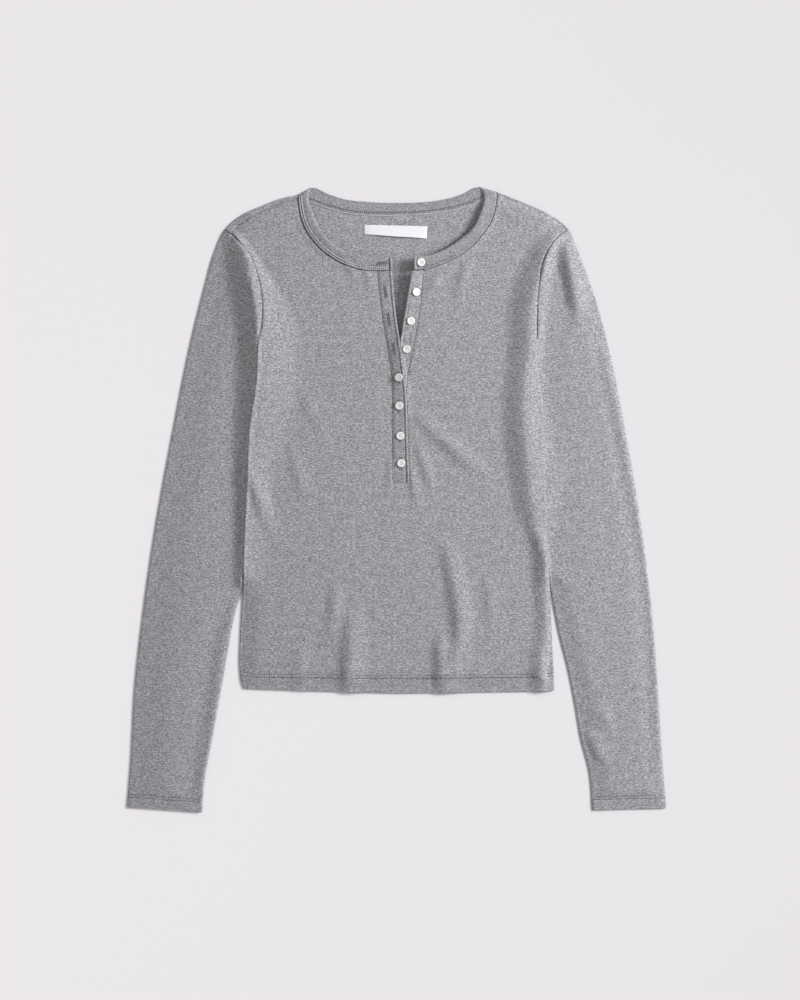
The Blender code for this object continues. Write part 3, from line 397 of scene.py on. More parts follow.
# Folds on the side that lies on the table, as far as cloth under its own weight keeps any.
# Columns: three points, width, rise.
UNDER_FOLDS = (
    ((-120, 230), (-100, 180), (-96, 120), 14, 0.5),
    ((110, 240), (96, 190), (92, 130), 13, 0.45),
    ((-60, 20), (-70, -60), (-60, -140), 15, 0.5),
    ((40, 60), (60, -20), (56, -110), 14, 0.45),
    ((-210, 150), (-222, 60), (-236, -40), 12, 0.5),
    ((208, 140), (226, 50), (240, -50), 12, 0.5),
    ((-238, -150), (-246, -220), (-250, -280), 10, 0.4),
    ((236, -150), (248, -220), (252, -280), 10, 0.4))

SLACK = ((46.0, 0.34), (19.0, 0.13), (8.0, 0.035))         # size and height of the cloth's unevenness
NOISE_LAYER = {"front": 0.0, "sleeve": 3.0, "neckband": 5.0, "back": 7.0, "under_sleeve": 9.0}
TABLE_SLACK = 0.4            # share of it on a face that lies on the table
BAND_SLACK = 0.3             # and on the neckband
# Relief, as pairs of height and width: the cloth turns down into a seam or under a row of stitches.
SEAM = (1.4, 1.1)
SHOULDER_DIP = (0.6, 1.1)
BACK_NECK_SEAM = (0.5, 1.1)  # on the back's outer face
SIDE_SEAM_DIP = (0.5, 1.0)
PLACKET_DIP = (0.12, 0.9)
ROW_DIP = (0.22, 1.0)
DEEP_ROW_DIP = (0.32, 1.0)   # the upper row of a hem
NECK_GROOVE = (0.45, 0.5)    # between the cords of the neck's coverstitch
ALLOWANCE = (0.35, 6.5)      # rise over the seam allowance that is pressed to one side
NECK_GROOVES = {"right": (2.5, 4.9), "left": ()}
TWIN_GAP = 3.2               # between the two needles of a coverstitch
SIDE_SEAM_IN = 2.6           # the right side's seam, this far from its fold, fades in from this y down
SIDE_SEAM_BELOW = -20.0
SIDE_SEAM_FADE = 40.0
HEM_RISE = 0.5               # doubled cloth of a hem, from this far above it, over this width
HEM_RISE_FROM = 1.2
HEM_RISE_WIDTH = 1.6
SETTLE = 2.5                 # relief of seams and hems fades over this far from a fold


def slack(points, layer):
    """Slight unevenness of the laid cloth, from smooth noise at three sizes."""
    rise = np.zeros(len(points))
    for index, (x, y) in enumerate(points):
        rise[index] = sum(height * noise.noise(Vector((x / size, y / size, layer + size)))
                          for size, height in SLACK)
    return rise


def dip(distance, depth, width):
    """A narrow groove."""
    return -depth * np.exp(-(distance / width)**2)


def ridge(distance, rise, width):
    """A flat-topped rise next to a seam."""
    share = np.clip(distance / width, 0, 1)
    return rise * np.sin(np.pi * share)**0.6 * (distance < width)


def into_body(side, distances):
    """Unit vectors from the armhole seam, drawn upwards, into the body."""
    seam = ARMHOLE_SEAM[side][::-1]
    return -hand(side) * left_of(seam, np.asarray(distances) / length_of(seam))


def shoulder_line(side, share, neck, near, far):
    """A line forward of the shoulder fold, from the neck (share 0) to the armhole (share 1)."""
    fold = SHOULDER[side]
    share = np.asarray(share, float)
    width = (near + (far - near) * share)[:, None]
    line = along(fold, share) + hand(side) * left_of(fold, share) * width
    ends = along(fold, (0.0, 1.0)) + hand(side) * left_of(fold, (0.0, 1.0)) * np.array([[near], [far]])
    miss_neck = at(neck, (near,)) - ends[0]
    miss_arm = at(ARMHOLE_SEAM[side], (far,)) - ends[1]
    share = share[:, None]
    return line + miss_neck * (1 - share)**3 + miss_arm * share**3


SHARES = np.linspace(0, 1, 60)
SHOULDER_JOIN = {side: shoulder_line(side, SHARES, NECK_SEAM[side][::-1], *SHOULDER_SEAM[side])
                 for side in SIDES}
# The front sinks where the placket strips are sewn to it: along one edge of each, and at the foot.
PLACKET_SEAMS = (PLACKET_EDGES["placket_over"]["right"], PLACKET_EDGES["placket_under"]["left"],
                 np.array((PLACKET_OVER["right"][-1], PLACKET_OVER["left"][-1])))
PLACKET_SINK = 1.2           # how far it gives way under them
PLACKET_SINK_WIDTH = 1.5
# The front hem's lower edge sags a little in the middle; its stitches follow it.
HEM_X = np.linspace(-171, 174, 40)
HEM_Y = -210.6
HEM_EDGE = np.column_stack([HEM_X, HEM_Y - HEM_BOW * np.sin(np.linspace(0, np.pi, len(HEM_X)))])


def nearest(points, curves):
    """Distance to the nearest of several curves."""
    return np.min([to_curve(points, curve)[0] for curve in curves], axis=0)


def clear_of(distance):
    """Share of its unevenness that the cloth has at a distance from a fold."""
    return np.clip(distance / CREASE_CLEAR, 0, 1)**2


def settled(distance):
    """Share of the relief of seams and hems at a distance from a fold."""
    return np.clip(distance / SETTLE, 0, 1)


def draped(points, outer, inner, layer, from_hem=FAR, sleeve=False):
    """Height of an upper layer with its creases, and the distance to its nearest fold."""
    to_outer, to_inner = fold_distance(points, outer), fold_distance(points, inner)
    to_fold = np.minimum(to_outer, to_inner)
    joined = smooth((points[:, 1] - JOINED_ABOVE) / EDGE_REACH)
    reach = np.where(sleeve & (points[:, 0] < 0), SLEEVE_REACH, EDGE_REACH)
    swell = smooth(np.minimum(np.minimum(to_outer / reach, from_hem / EDGE_REACH), to_inner / reach + joined))
    crease = crease_rise(points) * (CREASES_AT_HEM + (1 - CREASES_AT_HEM) * smooth(from_hem / EDGE_REACH))
    top = LOW_EDGE + (TOP - LOW_EDGE) * swell + crease
    if sleeve:
        top -= JOINT_DEPTH * joined * (1 - smooth(to_inner / (2 * EDGE_REACH)))
    edge = MID + (top - MID - (0 if sleeve else JOINT_DEPTH)) * joined * (to_inner < to_outer)
    rounded = np.minimum(rounding(to_outer, ROUND_UPPER), rounding(to_inner, ROUND_JOINT))
    return edge + (top - edge) * rounded + slack(points, NOISE_LAYER[layer]) * clear_of(to_fold), to_fold


def between(points, right, left):
    """How far each point is inside a strip between two edges that are drawn downwards."""
    right_x = np.interp(points[:, 1], right[::-1, 1], right[::-1, 0])
    left_x = np.interp(points[:, 1], left[::-1, 1], left[::-1, 0])
    return np.minimum(np.minimum(points[:, 0] - right_x, left_x - points[:, 0]), points[:, 1] - right[-1, 1])


def hem_distance(points):
    """How far each point is above the body's lower edge."""
    return points[:, 1] - np.interp(points[:, 0], HEM_EDGE[:, 0], HEM_EDGE[:, 1])


def front_drape(points):
    """The front's height without its seams, and the distance to its nearest fold."""
    return draped(points, OUTER_FOLDS, SIDE_FOLDS, "front", hem_distance(points))


def seam_relief(distance):
    """A seam, and the rise over its allowance beside it."""
    return dip(distance, *SEAM) + ridge(distance, *ALLOWANCE)


def twin_rows(distance, upper=ROW_DIP):
    """The two sunken rows of a hem's stitches, at distances from the upper one."""
    return dip(distance, *upper) + dip(distance + TWIN_GAP, *ROW_DIP)


def hem_relief(edge, depth):
    """Lift of a turned-up hem above the single cloth, with its rows of stitches."""
    rise = HEM_RISE * smooth((depth + HEM_RISE_FROM - edge) / HEM_RISE_WIDTH)
    return rise + twin_rows(edge - depth, DEEP_ROW_DIP)


def front_height(points):
    """Height of the front's outer face."""
    height, distance = front_drape(points)
    relief = dip(nearest(points, ARMHOLE_SEAM.values()), *SEAM)
    relief += dip(nearest(points, SHOULDER_JOIN.values()), *SHOULDER_DIP)
    relief += seam_relief(nearest(points, NECK_SEAM.values()))
    relief += hem_relief(hem_distance(points), HEM_DEPTH)
    relief += dip(nearest(points, PLACKET_SEAMS), *PLACKET_DIP)
    for edges in PLACKET_EDGES.values():
        relief -= PLACKET_SINK * smooth(between(points, edges["right"], edges["left"]) / PLACKET_SINK_WIDTH)
    side_seam = to_curve(points, BODY_SIDE["right"] + [SIDE_SEAM_IN, 0])[0]
    fade = np.clip((SIDE_SEAM_BELOW - points[:, 1]) / SIDE_SEAM_FADE, 0, 1)
    relief += dip(side_seam, *SIDE_SEAM_DIP) * fade
    return height + relief * settled(distance)


def table_face(points, folds, layer, from_rows):
    """Height of a face that lies on the table, and how clear of its folds each point is."""
    distance = fold_distance(points, folds)
    clear = clear_of(distance)
    rise = np.maximum(fold_rise(points, UNDER_FOLDS), 0) * clear
    rise += np.maximum(slack(points, NOISE_LAYER[layer]), 0) * TABLE_SLACK * clear
    return rolled(distance, MID, ROUND_UNDER) + rise - twin_rows(from_rows), clear


def back_height(points):
    """Height of the back's outer face, which lies on the table."""
    height, clear = table_face(points, OUTER_FOLDS + SIDE_FOLDS, "back", hem_distance(points) - HEM_DEPTH)
    return height - dip(nearest(points, [BACK_SEAM["right"]]), *BACK_NECK_SEAM) * clear


def over_shoulder_height(points):
    """Height of the back where it comes over the shoulder to the seam in front."""
    height, distance = draped(points, OUTER_FOLDS, (), "front")
    seam = dip(nearest(points, SHOULDER_JOIN.values()), *SHOULDER_DIP)
    return height + seam * settled(distance)


def sleeve_height(side, run):
    """Function that gives the height of a sleeve's upper face; run is the distance from its cuff."""
    def height_of(points):
        height, distance = draped(points, OUTER_FOLDS, INNER_FOLDS[side], "sleeve", run, sleeve=True)
        relief = seam_relief(to_curve(points, ARMHOLE_SEAM[side])[0]) + hem_relief(run, CUFF_DEPTH)
        return height + relief * settled(distance)
    return height_of


def sleeve_under_height(side, run):
    """The same for the face that lies on the table."""
    folds = OUTER_FOLDS + INNER_FOLDS[side]
    return lambda points: table_face(points, folds, "under_sleeve", run - CUFF_DEPTH)[0]


def spread(length, near, far, count):
    """Distances along a seam: close together at both ends as given, even between them."""
    middle = np.linspace(near[-1], length - far[0], count + 1)[1:-1]
    return np.concatenate([near, middle, length - np.array(far)])


def slant(edge, across):
    """How far along each row to go for each step straight in from the edge that the rows start on."""
    tangent = np.gradient(edge, axis=0)
    tangent /= np.linalg.norm(tangent, axis=1)[:, None]
    across = across / np.linalg.norm(across, axis=1)[:, None]
    sine = np.abs(tangent[:, 0] * across[:, 1] - tangent[:, 1] * across[:, 0])
    return 1 / np.maximum(sine, LEAST_SINE)


def ruled(starts, ends, near, count, far=(0.0,)):
    """Straight rows: columns at near distances from the starting edge, even ones, then far ones."""
    rows = []
    near_steps, far_steps = slant(starts, ends - starts), slant(ends, ends - starts)
    for start, end, near_step, far_step in zip(starts, ends, near_steps, far_steps):
        length = np.linalg.norm(end - start)
        distances = spread(length, np.array(near) * near_step, np.array(far) * far_step, count)
        rows.append(start + (end - start) * (distances / length)[:, None])
    return np.array(rows)


def bend(rows, index, wanted, reach):
    """Move row index onto the wanted points, and the reach rows on each side of it ever less."""
    away = np.abs(np.arange(len(rows)) - index)
    share = np.clip(1 - away / (reach + 1), 0, 1)**2
    return rows + share[:, None, None] * (wanted - rows[index])


def raised(rows, height_of):
    """The rows' plan points with their heights."""
    flat = rows.reshape(-1, 2)
    return np.column_stack([flat, height_of(flat)]).reshape(*rows.shape[:2], 3)


def from_hem(length, count):
    """Distances up from a hemmed edge, close together at the edge."""
    return np.concatenate([AT_HEM, np.linspace(AT_HEM[-1], length, count)[1:]])


def front_half(side):
    """Half of the front: from its side and armhole to the centre, the slit and the neckline."""
    near, far = SHOULDER_SEAM[side]
    side_up, centre = BODY_SIDE[side][::-1], np.array(CENTRE)
    length = length_of(side_up)
    low, centre_low = from_hem(0.5 * length, LOW_ROWS), from_hem(length_of(centre), LOW_ROWS)
    beside_slit = np.linspace(0.5 * length, length, SLIT_ROWS + 1)[1:]
    arm_length, neck_length = length_of(ARMHOLE_SEAM[side]), length_of(NECK_SEAM[side])
    arm = np.linspace(0, arm_length - far, ARM_ROWS + 1)[1:]
    neck = np.linspace(NECK_START[side], neck_length - near, ARM_ROWS + 1)[1:]
    outer = np.vstack([at(side_up, low), at(side_up, beside_slit), at(ARMHOLE_SEAM[side][::-1], arm)])
    slit = along(spline(SLIT[side]), np.linspace(0, 1, SLIT_ROWS + 1))[1:]
    inner = np.vstack([at(centre, centre_low), slit, at(NECK_SEAM[side], neck)])
    rows = ruled(outer, inner, NEAR_FOLD, PANEL_COLUMNS, NEAR_SEAM[::-1])
    share = shares_of(rows[0])
    sag = HEM_BOW * np.clip(1 - centre_low / HEM_BOW_REACH, 0, 1)
    rows[:len(low), :, 1] -= sag[:, None] * np.sin(np.pi / 2 * share)
    seam = shoulder_line(side, 1 - share, NECK_SEAM[side][::-1], near + SEAM_GAP / 2, far + SEAM_GAP / 2)
    rows = bend(rows, len(rows) - 1, seam, FRONT_BEND)
    rows[-ARM_ROWS:, 0] += into_body(side, arm) * SEAM_GAP / 2
    return rows


def back_half(side):
    """Half of the back: flat on the table up to the shoulder fold, then over it to the seam."""
    near, far = SHOULDER_SEAM[side]
    side_up, seam = BODY_SIDE[side][::-1], BACK_SEAM[side]
    length = length_of(side_up)
    arm_length, neck_length = length_of(ARMHOLE_SEAM[side]), 0.5 * length_of(seam)
    low = from_hem(length, LOW_ROWS)
    arm = np.linspace(0, arm_length - NEAR_FOLD[-1], ARM_ROWS + 1)[1:]
    neck = np.linspace(neck_length, NEAR_FOLD[-1], ARM_ROWS // 2 + 1)
    centre_up = np.array((CENTRE[0], at(seam, (neck_length,))[0]))
    underarm = SIDE["right"][0][1] - CENTRE[0][1]
    above = np.linspace(underarm, length_of(centre_up), ARM_ROWS - len(neck) + 2)[1:-1]
    outer = np.vstack([at(side_up, low), at(ARMHOLE_SEAM[side][::-1], arm)])
    inner = np.vstack([at(centre_up, from_hem(underarm, LOW_ROWS)), at(centre_up, above), at(seam, neck)])
    rows = ruled(outer, inner, NEAR_FOLD, PANEL_COLUMNS)
    share = 1 - shares_of(rows[-1])
    last = shoulder_line(side, share, seam, NEAR_FOLD[-1], NEAR_FOLD[-1])
    rows = bend(rows, len(rows) - 1, last, BACK_BEND)
    rows[-ARM_ROWS:, 0] += into_body(side, arm) * SEAM_GAP / 2
    to_fold = [shoulder_line(side, share, seam, step, step) for step in NEAR_FOLD[-2::-1]]
    neck_front = NECK_SEAM[side][::-1]
    over = [shoulder_line(side, share, neck_front, near * s - (s == 1) * SEAM_GAP / 2,
                          far * s - (s == 1) * SEAM_GAP / 2) for s in SHOULDER_STEPS]
    below = raised(np.concatenate([rows, to_fold]), back_height)
    below[:len(low), 0, 2] = front_drape(rows[:len(low), 0])[0]
    return np.concatenate([below, raised(np.array(over), over_shoulder_height)])


def sleeve_layer(side, fold_steps):
    """Plan of one layer of a sleeve, and how far each row is from the cuff."""
    seam_up = ARMHOLE_SEAM[side][::-1]
    arm_length = length_of(seam_up)
    below = spread(ARM_CORNER_RUN, fold_steps, (0.0,), CORNER_ROWS)
    above = ARM_CORNER_RUN + spread(arm_length - ARM_CORNER_RUN, (0.0,), fold_steps[::-1],
                                    SLEEVE_COLUMNS + len(fold_steps) - 1)
    inner_run, outer_run = length_of(SLEEVE_SIDE[side]), length_of(SLEEVE_OUTER[side])
    down = inner_run - from_hem(inner_run, SLEEVE_ROWS)[::-1]
    beside = at(seam_up, below) - into_body(side, below) * SEAM_GAP / 2
    first = at(seam_up, above) - into_body(side, above) * SEAM_GAP / 2
    corner = len(below) - 1
    inner = np.vstack([beside[:0:-1], at(SLEEVE_SIDE[side], down)])
    opposite = np.concatenate([np.linspace(0, SLEEVE_OPPOSITE, corner, endpoint=False),
                               SLEEVE_OPPOSITE + down * (outer_run - SLEEVE_OPPOSITE) / inner_run])
    rows = ruled(inner, at(SLEEVE_OUTER[side], opposite), fold_steps, SLEEVE_COLUMNS, fold_steps[::-1])
    even = shares_of(first)
    for index in range(corner):
        fade = index / corner
        share = even * (1 - fade) + shares_of(rows[index]) * fade
        rows[index] = rows[index, 0] + (rows[index, -1] - rows[index, 0]) * share[:, None]
    rows[0] = first
    beside_seam = first + (rows[1] - first) * np.array(NEAR_ARMHOLE)[:, None, None]
    rows = np.concatenate([rows[:1], beside_seam, rows[1:]])
    corner += len(NEAR_ARMHOLE)
    return rows, np.concatenate([np.full(corner, FAR), inner_run - down]), corner


def sleeve_layers(side):
    """Both layers of a sleeve, sharing its folded edges, and each point's distance from the cuff."""
    plan, run, corner = sleeve_layer(side, NEAR_FOLD)
    run = np.repeat(run[:, None], plan.shape[1], axis=1)
    upper = raised(plan, sleeve_height(side, run.ravel()))
    lower = raised(plan, sleeve_under_height(side, run.ravel()))
    for fold in ((slice(corner, None), 0), (slice(None), -1)):
        lower[(*fold, 2)] = upper[(*fold, 2)]
    return upper, lower, run


BAND_ACROSS = (0.0, 0.02, 0.05, 0.085, 0.115, 0.14, 0.165, 0.19, 0.22, 0.26, 0.3, 0.325, 0.35, 0.4, 0.5, 0.62,
               0.74, 0.85, 0.92, 0.965, 0.99, 1.0)
BAND_WIDTH = 15.0
BAND_EDGE = (3.0, 3.0)       # how far the band's folded edge comes down, and width of its rounding
BACK_BAND_EDGE = (-0.35, 3.0)
OPEN_EDGE = (1.6, 2.2)       # the same for a placket's folded edge
SEWN_DROP = 0.9              # and for its sewn edges, less round
SEWN_ROUND = 3.0
# Raised binding along an open edge. Columns: rise, width, then its groove's place, depth and width.
BAND_BINDING = (1.4, 3.2, 3.5, 0.8, 0.6)
PLACKET_BINDING = (0.8, 2.9, 3.1, 0.5, 0.5)
PLACKET_LIFT = 0.1           # the under placket's face above the front
UNDER_RISE = 0.8             # and more where the over placket leaves it: from this y, over this far
UNDER_RISE_FROM = 135.0
UNDER_RISE_REACH = 45.0


def band_folds():
    """The neckband's fold over each shoulder, drawn past both ends."""
    folds = []
    for side in SIDES:
        seam_end, free_end = np.array(NECKLINE[side][-1]), np.array(BAND_FREE_FRONT[side][-1])
        reach = free_end - seam_end
        folds.append((np.array((seam_end - reach, free_end + reach)), -hand(side)))
    return folds


BAND_FOLDS = band_folds()


def band_rows(seam, free):
    """Rows across the neckband, its seam edge drawn back from the panel it is sewn to."""
    across = (free - seam) / np.linalg.norm(free - seam, axis=1)[:, None]
    ends = np.array([NECKLINE[side][-1] for side in SIDES])
    from_fold = np.linalg.norm(seam[:, None] - ends[None], axis=2).min(1)
    spare = FOLD_SPARE * np.exp(-(from_fold / FOLD_SPARE_REACH)**2)
    start = seam + across * (SEAM_GAP / 2 + spare)[:, None]
    return start[:, None] + (free - start)[:, None] * np.array(BAND_ACROSS)[None, :, None]


def binding(distance, rise, width, groove, depth, groove_width):
    """The raised binding along an open edge, with the groove beside it."""
    return ridge(distance, rise, width) + dip(distance - groove, depth, groove_width)


def band_face(side):
    """Function that gives the height of the neckband's face, on one half of the front."""
    def height_of(points, from_end=FAR):
        from_fold = fold_distance(points, BAND_FOLDS)
        from_seam = to_curve(points, NECK_SEAM[side])[0]
        height = BAND_TOP - (TOP - LOW_EDGE) * (1 - smooth(from_fold / EDGE_REACH))
        height += crease_rise(points) + BAND_SLACK * slack(points, NOISE_LAYER["neckband"])
        height -= rolled(to_curve(points, FREE_EDGE[side])[0], *BAND_EDGE)
        height += dip(from_seam, *SEAM)
        for groove in NECK_GROOVES[side]:
            height += dip(from_seam - groove, *NECK_GROOVE)
        height += binding(from_end, *BAND_BINDING)
        return MID + (height - MID) * rounding(from_fold, ROUND_UPPER)
    return height_of


def back_band_height(points):
    """Height of the neckband inside the back."""
    height = rolled(fold_distance(points, BAND_FOLDS), MID, ROUND_UNDER)
    return height - rolled(to_curve(points, BACK_FREE_EDGE)[0], *BACK_BAND_EDGE)


def neckband_patches():
    """The neckband: both fronts up to their shoulder folds, and the back that joins them."""
    patches, runs = [], []
    lengths = {side: length_of(NECK_SEAM[side]) for side in SIDES}
    whole = length_of(BACK_SEAM["right"])
    for side, length in lengths.items():
        distances = spread(length, AT_BAND_END, NEAR_FOLD[::-1], BAND_ROWS)
        rows = band_rows(at(NECK_SEAM[side], distances), along(FREE_EDGE[side], distances / length))
        from_end = np.repeat(distances, len(BAND_ACROSS))
        patch = raised(rows, lambda points: band_face(side)(points, from_end))
        patch[-1, :, 2] = MID
        patches.append(patch)
        runs.append(distances if side == "right" else lengths["right"] + whole + length - distances)
    half = spread(0.5 * whole, NEAR_FOLD, (0.0,), BACK_BAND_ROWS)
    distances = np.concatenate([half, whole - half[-2::-1]])
    rows = band_rows(at(BACK_SEAM["right"], distances), along(BACK_FREE_EDGE, distances / whole))
    back = raised(rows, back_band_height)
    back[0], back[-1] = patches[0][-1], patches[1][-1]
    patches.append(back)
    runs.append(distances + lengths["right"])
    across = BAND_WIDTH * np.array(BAND_ACROSS)
    flats = [np.stack(np.meshgrid(run, across, indexing="ij"), axis=-1) for run in runs]
    return patches, flats


def under_lift(points):
    """Height of the under placket's face above the front: less where the over placket covers it."""
    return PLACKET_LIFT + UNDER_RISE * smooth((points[:, 1] - UNDER_RISE_FROM) / UNDER_RISE_REACH)


def over_lift(points):
    """Height of the over placket's face above the front, clear of the under placket's face."""
    return np.full(len(points), PLACKET_LIFT + PLACKET_WALL + CLIMB_SPARE)


# Columns: height above the front, open edge.
PLACKETS = {"placket_over": (over_lift, "left"), "placket_under": (under_lift, "right")}


def placket_face(name):
    """Function that gives the height of a placket strip's face, its edges rounded down."""
    right, left = PLACKET_EDGES[name]["right"], PLACKET_EDGES[name]["left"]
    lift, open_edge = PLACKETS[name]
    def height_of(points):
        from_right, from_left = to_curve(points, right)[0], to_curve(points, left)[0]
        from_open, from_sewn = (from_left, from_right) if open_edge == "left" else (from_right, from_left)
        foot = np.interp(points[:, 0], (right[-1, 0], left[-1, 0]), (right[-1, 1], left[-1, 1]))
        from_foot = np.clip(points[:, 1] - foot, 0, None)
        height = front_drape(points)[0] + lift(points) - rolled(from_open, *OPEN_EDGE)
        height -= SEWN_DROP * (1 - smooth(np.minimum(from_sewn, from_foot) / SEWN_ROUND))
        return height + binding(from_open, *PLACKET_BINDING)
    return height_of


def placket_patch(name):
    """Rows across a placket strip, from its right edge to its left."""
    right, left = PLACKET_EDGES[name]["right"], PLACKET_EDGES[name]["left"]
    length = length_of(right)
    share = spread(length, AT_PLACKET_END, AT_PLACKET_END[::-1], PLACKET_ROWS) / length
    rows = ruled(along(right, share), along(left, share), PLACKET_RIGHT, PLACKET_COLUMNS, PLACKET_LEFT)
    return raised(rows, placket_face(name))


def add_node(tree, kind, inputs=None, **settings):
    """Add a shader node, set it, and link or fill its inputs."""
    node = tree.nodes.new(kind)
    for name, value in settings.items():
        setattr(node, name, value)
    for name, value in (inputs or {}).items():
        if isinstance(value, bpy.types.NodeSocket):
            tree.links.new(value, node.inputs[name])
        else:
            node.inputs[name].default_value = value
    return node


def colour(code):
    """Linear colour of an sRGB hex value."""
    parts = [int(code[i:i + 2], 16) / 255 for i in (0, 2, 4)]
    return (*[p / 12.92 if p <= 0.04045 else ((p + 0.055) / 1.055)**2.4 for p in parts], 1.0)


def new_material(name, looks):
    """A material with only its Principled shader, set to these looks, and its tree."""
    material = bpy.data.materials.new(name)
    material.use_nodes = True
    shader = material.node_tree.nodes["Principled BSDF"]
    for look, value in looks.items():
        shader.inputs[look].default_value = value
    return material, material.node_tree, shader


def maths(tree, operation, *values):
    """Output of one sum over numbers and other outputs."""
    return add_node(tree, "ShaderNodeMath", dict(enumerate(values)), operation=operation).outputs[0]


def place_in(tree):
    """Place in the piece, for a pattern that goes right through it."""
    return add_node(tree, "ShaderNodeTexCoord").outputs["Object"]


def bands(tree, place, direction, scale, **more):
    """Even bands, 0.314 / scale apart."""
    more = {name.replace("_", " "): value for name, value in more.items()}
    return add_node(tree, "ShaderNodeTexWave", {"Vector": place, "Scale": scale, **more},
                    wave_type="BANDS", bands_direction=direction).outputs["Fac"]


def clouds(tree, place, scale, **more):
    """Smooth noise."""
    return add_node(tree, "ShaderNodeTexNoise", {"Vector": place, "Scale": scale, **more}).outputs["Fac"]


def tint(tree, shader, share, *stops):
    """Colour the surface by a share from 0 to 1. Each stop is a position and its colour."""
    ramp = add_node(tree, "ShaderNodeValToRGB", {"Fac": share})
    first, *middle, last = stops
    for element, stop in zip(ramp.color_ramp.elements, (first, last)):
        element.position, element.color = stop
    for position, tone in middle:
        ramp.color_ramp.elements.new(position).color = tone
    tree.links.new(ramp.outputs["Color"], shader.inputs["Base Color"])


def emboss(tree, shader, height, strength, distance):
    """Bump the surface by a height."""
    bump = add_node(tree, "ShaderNodeBump", {"Height": height, "Strength": strength, "Distance": distance})
    tree.links.new(bump.outputs["Normal"], shader.inputs["Normal"])


# Noise of the melange: streaks, flecks and clouds. Columns: scale, offset, detail.
MELANGE = (((290.0, 640.0, 1.0), 0.0, 2.0), ((620.0, 900.0, 1.0), 7.0, 1.0), ((90.0, 140.0, 1.0), 3.0, 2.0))
CLOUDINESS = 0.15
WALES = 349.0                # 0.9 mm apart


def melange_jersey(name, dark, middle, light):
    """Heather grey cotton jersey, knitted from dyed and undyed fibres spun together.

    The yarn runs across the cloth, so the light and dark fibres show as short streaks across it,
    2 to 5 mm long and about 1 mm high, with faint clouds 10 mm wide. Its surface is matt and fuzzy.
    """
    material, tree, shader = new_material(name, {"Roughness": 0.92, "Specular IOR Level": 0.25,
                                                 "Sheen Weight": 0.1, "Sheen Roughness": 0.5})
    flat = add_node(tree, "ShaderNodeUVMap", uv_map="cloth").outputs["UV"]
    fibres = []
    for scale, offset, detail in MELANGE:
        space = add_node(tree, "ShaderNodeMapping", {"Vector": flat, "Scale": scale,
                                                     "Location": (offset, offset, offset)})
        fibres.append(clouds(tree, space.outputs[0], 1.0, Detail=detail))
    streaks, flecks, patches = fibres
    yarn = maths(tree, "MULTIPLY", maths(tree, "ADD", streaks, flecks), 0.5)
    cloudy = maths(tree, "MULTIPLY_ADD", patches, CLOUDINESS, yarn)
    tint(tree, shader, maths(tree, "SUBTRACT", cloudy, CLOUDINESS / 2),
         (0.36, colour(dark)), (0.5, colour(middle)), (0.64, colour(light)))
    wales = bands(tree, flat, "X", WALES, Distortion=1.2, Detail=2.0, Detail_Scale=3.0)
    emboss(tree, shader, maths(tree, "MULTIPLY_ADD", wales, 0.25, yarn), strength=0.5, distance=0.0006)
    return material


def sewing_thread(name, code):
    """Spun polyester sewing thread: matt, with the twist of its plies as fine diagonal bands."""
    material, tree, shader = new_material(name, {"Roughness": 0.8})
    twist = bands(tree, place_in(tree), "DIAGONAL", 400.0)
    light = colour(code)
    tint(tree, shader, twist, (0.0, (*[part * 0.75 for part in light[:3]], 1.0)), (1.0, light))
    return material


def woven_tape(name):
    """White polyester satin label tape: fine cross threads 0.4 mm apart, drawn at 0.8 mm to show."""
    material, tree, shader = new_material(name, {"Roughness": 0.45})
    weft = bands(tree, place_in(tree), "Y", 125.0, Distortion=0.5)
    tint(tree, shader, weft, (0.0, colour("d2d2d4")), (1.0, colour("d6d6d8")))
    emboss(tree, shader, weft, strength=0.3, distance=0.0002)
    return material


def pearl_resin(name, dark, light):
    """Polyester resin button, turned and polished: milky with cloudy pearl and a gloss."""
    material, tree, shader = new_material(name, {"Roughness": 0.28, "IOR": 1.54, "Coat Weight": 0.4})
    pearl = clouds(tree, place_in(tree), 420.0, Detail=2.0, Distortion=1.5)
    tint(tree, shader, pearl, (0.35, colour(dark)), (0.65, colour(light)))
    return material


jersey = melange_jersey("melange_cotton_jersey", "68686b", "89898c", "aeadb2")
folded_jersey = melange_jersey("doubled_melange_jersey", "666669", "848487", "a7a7ab")
mid_thread = sewing_thread("mid_grey_spun_thread", "808084")
light_thread = sewing_thread("light_grey_spun_thread", "b4b4b8")
grey_thread = sewing_thread("grey_spun_thread", "5c5c5f")
satin_thread = sewing_thread("buttonhole_grey_thread", "7b7b7e")
# a dark strip in each buttonhole: painted shadow inside the slit
slit_shadow_thread = sewing_thread("painted_slit_shadow", "666669")
dark_thread = sewing_thread("dark_grey_spun_thread", "444447")
tape = woven_tape("white_satin_label_tape")
white_thread = sewing_thread("white_spun_thread", "c8c8c8")
pearl = pearl_resin("pearly_resin", "c6c6c4", "d5d5d4")
# the same resin painted greyer: painted shade for the buttons that lie in shade
shaded_pearl = pearl_resin("pearly_resin_painted_shade", "b4b3ae", "c8c7c3")


def add_object(name, data):
    """A new object in the scene."""
    thing = bpy.data.objects.new(name, data)
    bpy.context.scene.collection.objects.link(thing)
    return thing


def mesh_object(name, mesh, material):
    """A new object in the scene, made of a mesh."""
    data = bpy.data.meshes.new(name)
    mesh.to_mesh(data)
    mesh.free()
    data.materials.append(material)
    return add_object(name, data)


def finish(name, mesh, material, node=None):
    """Make the piece's object, let it ride on the shirt, and hide the node it stands for."""
    piece = mesh_object(name, mesh, material)
    piece.data.shade_smooth()
    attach(piece, "root")
    if node:
        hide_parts(node)
    return piece


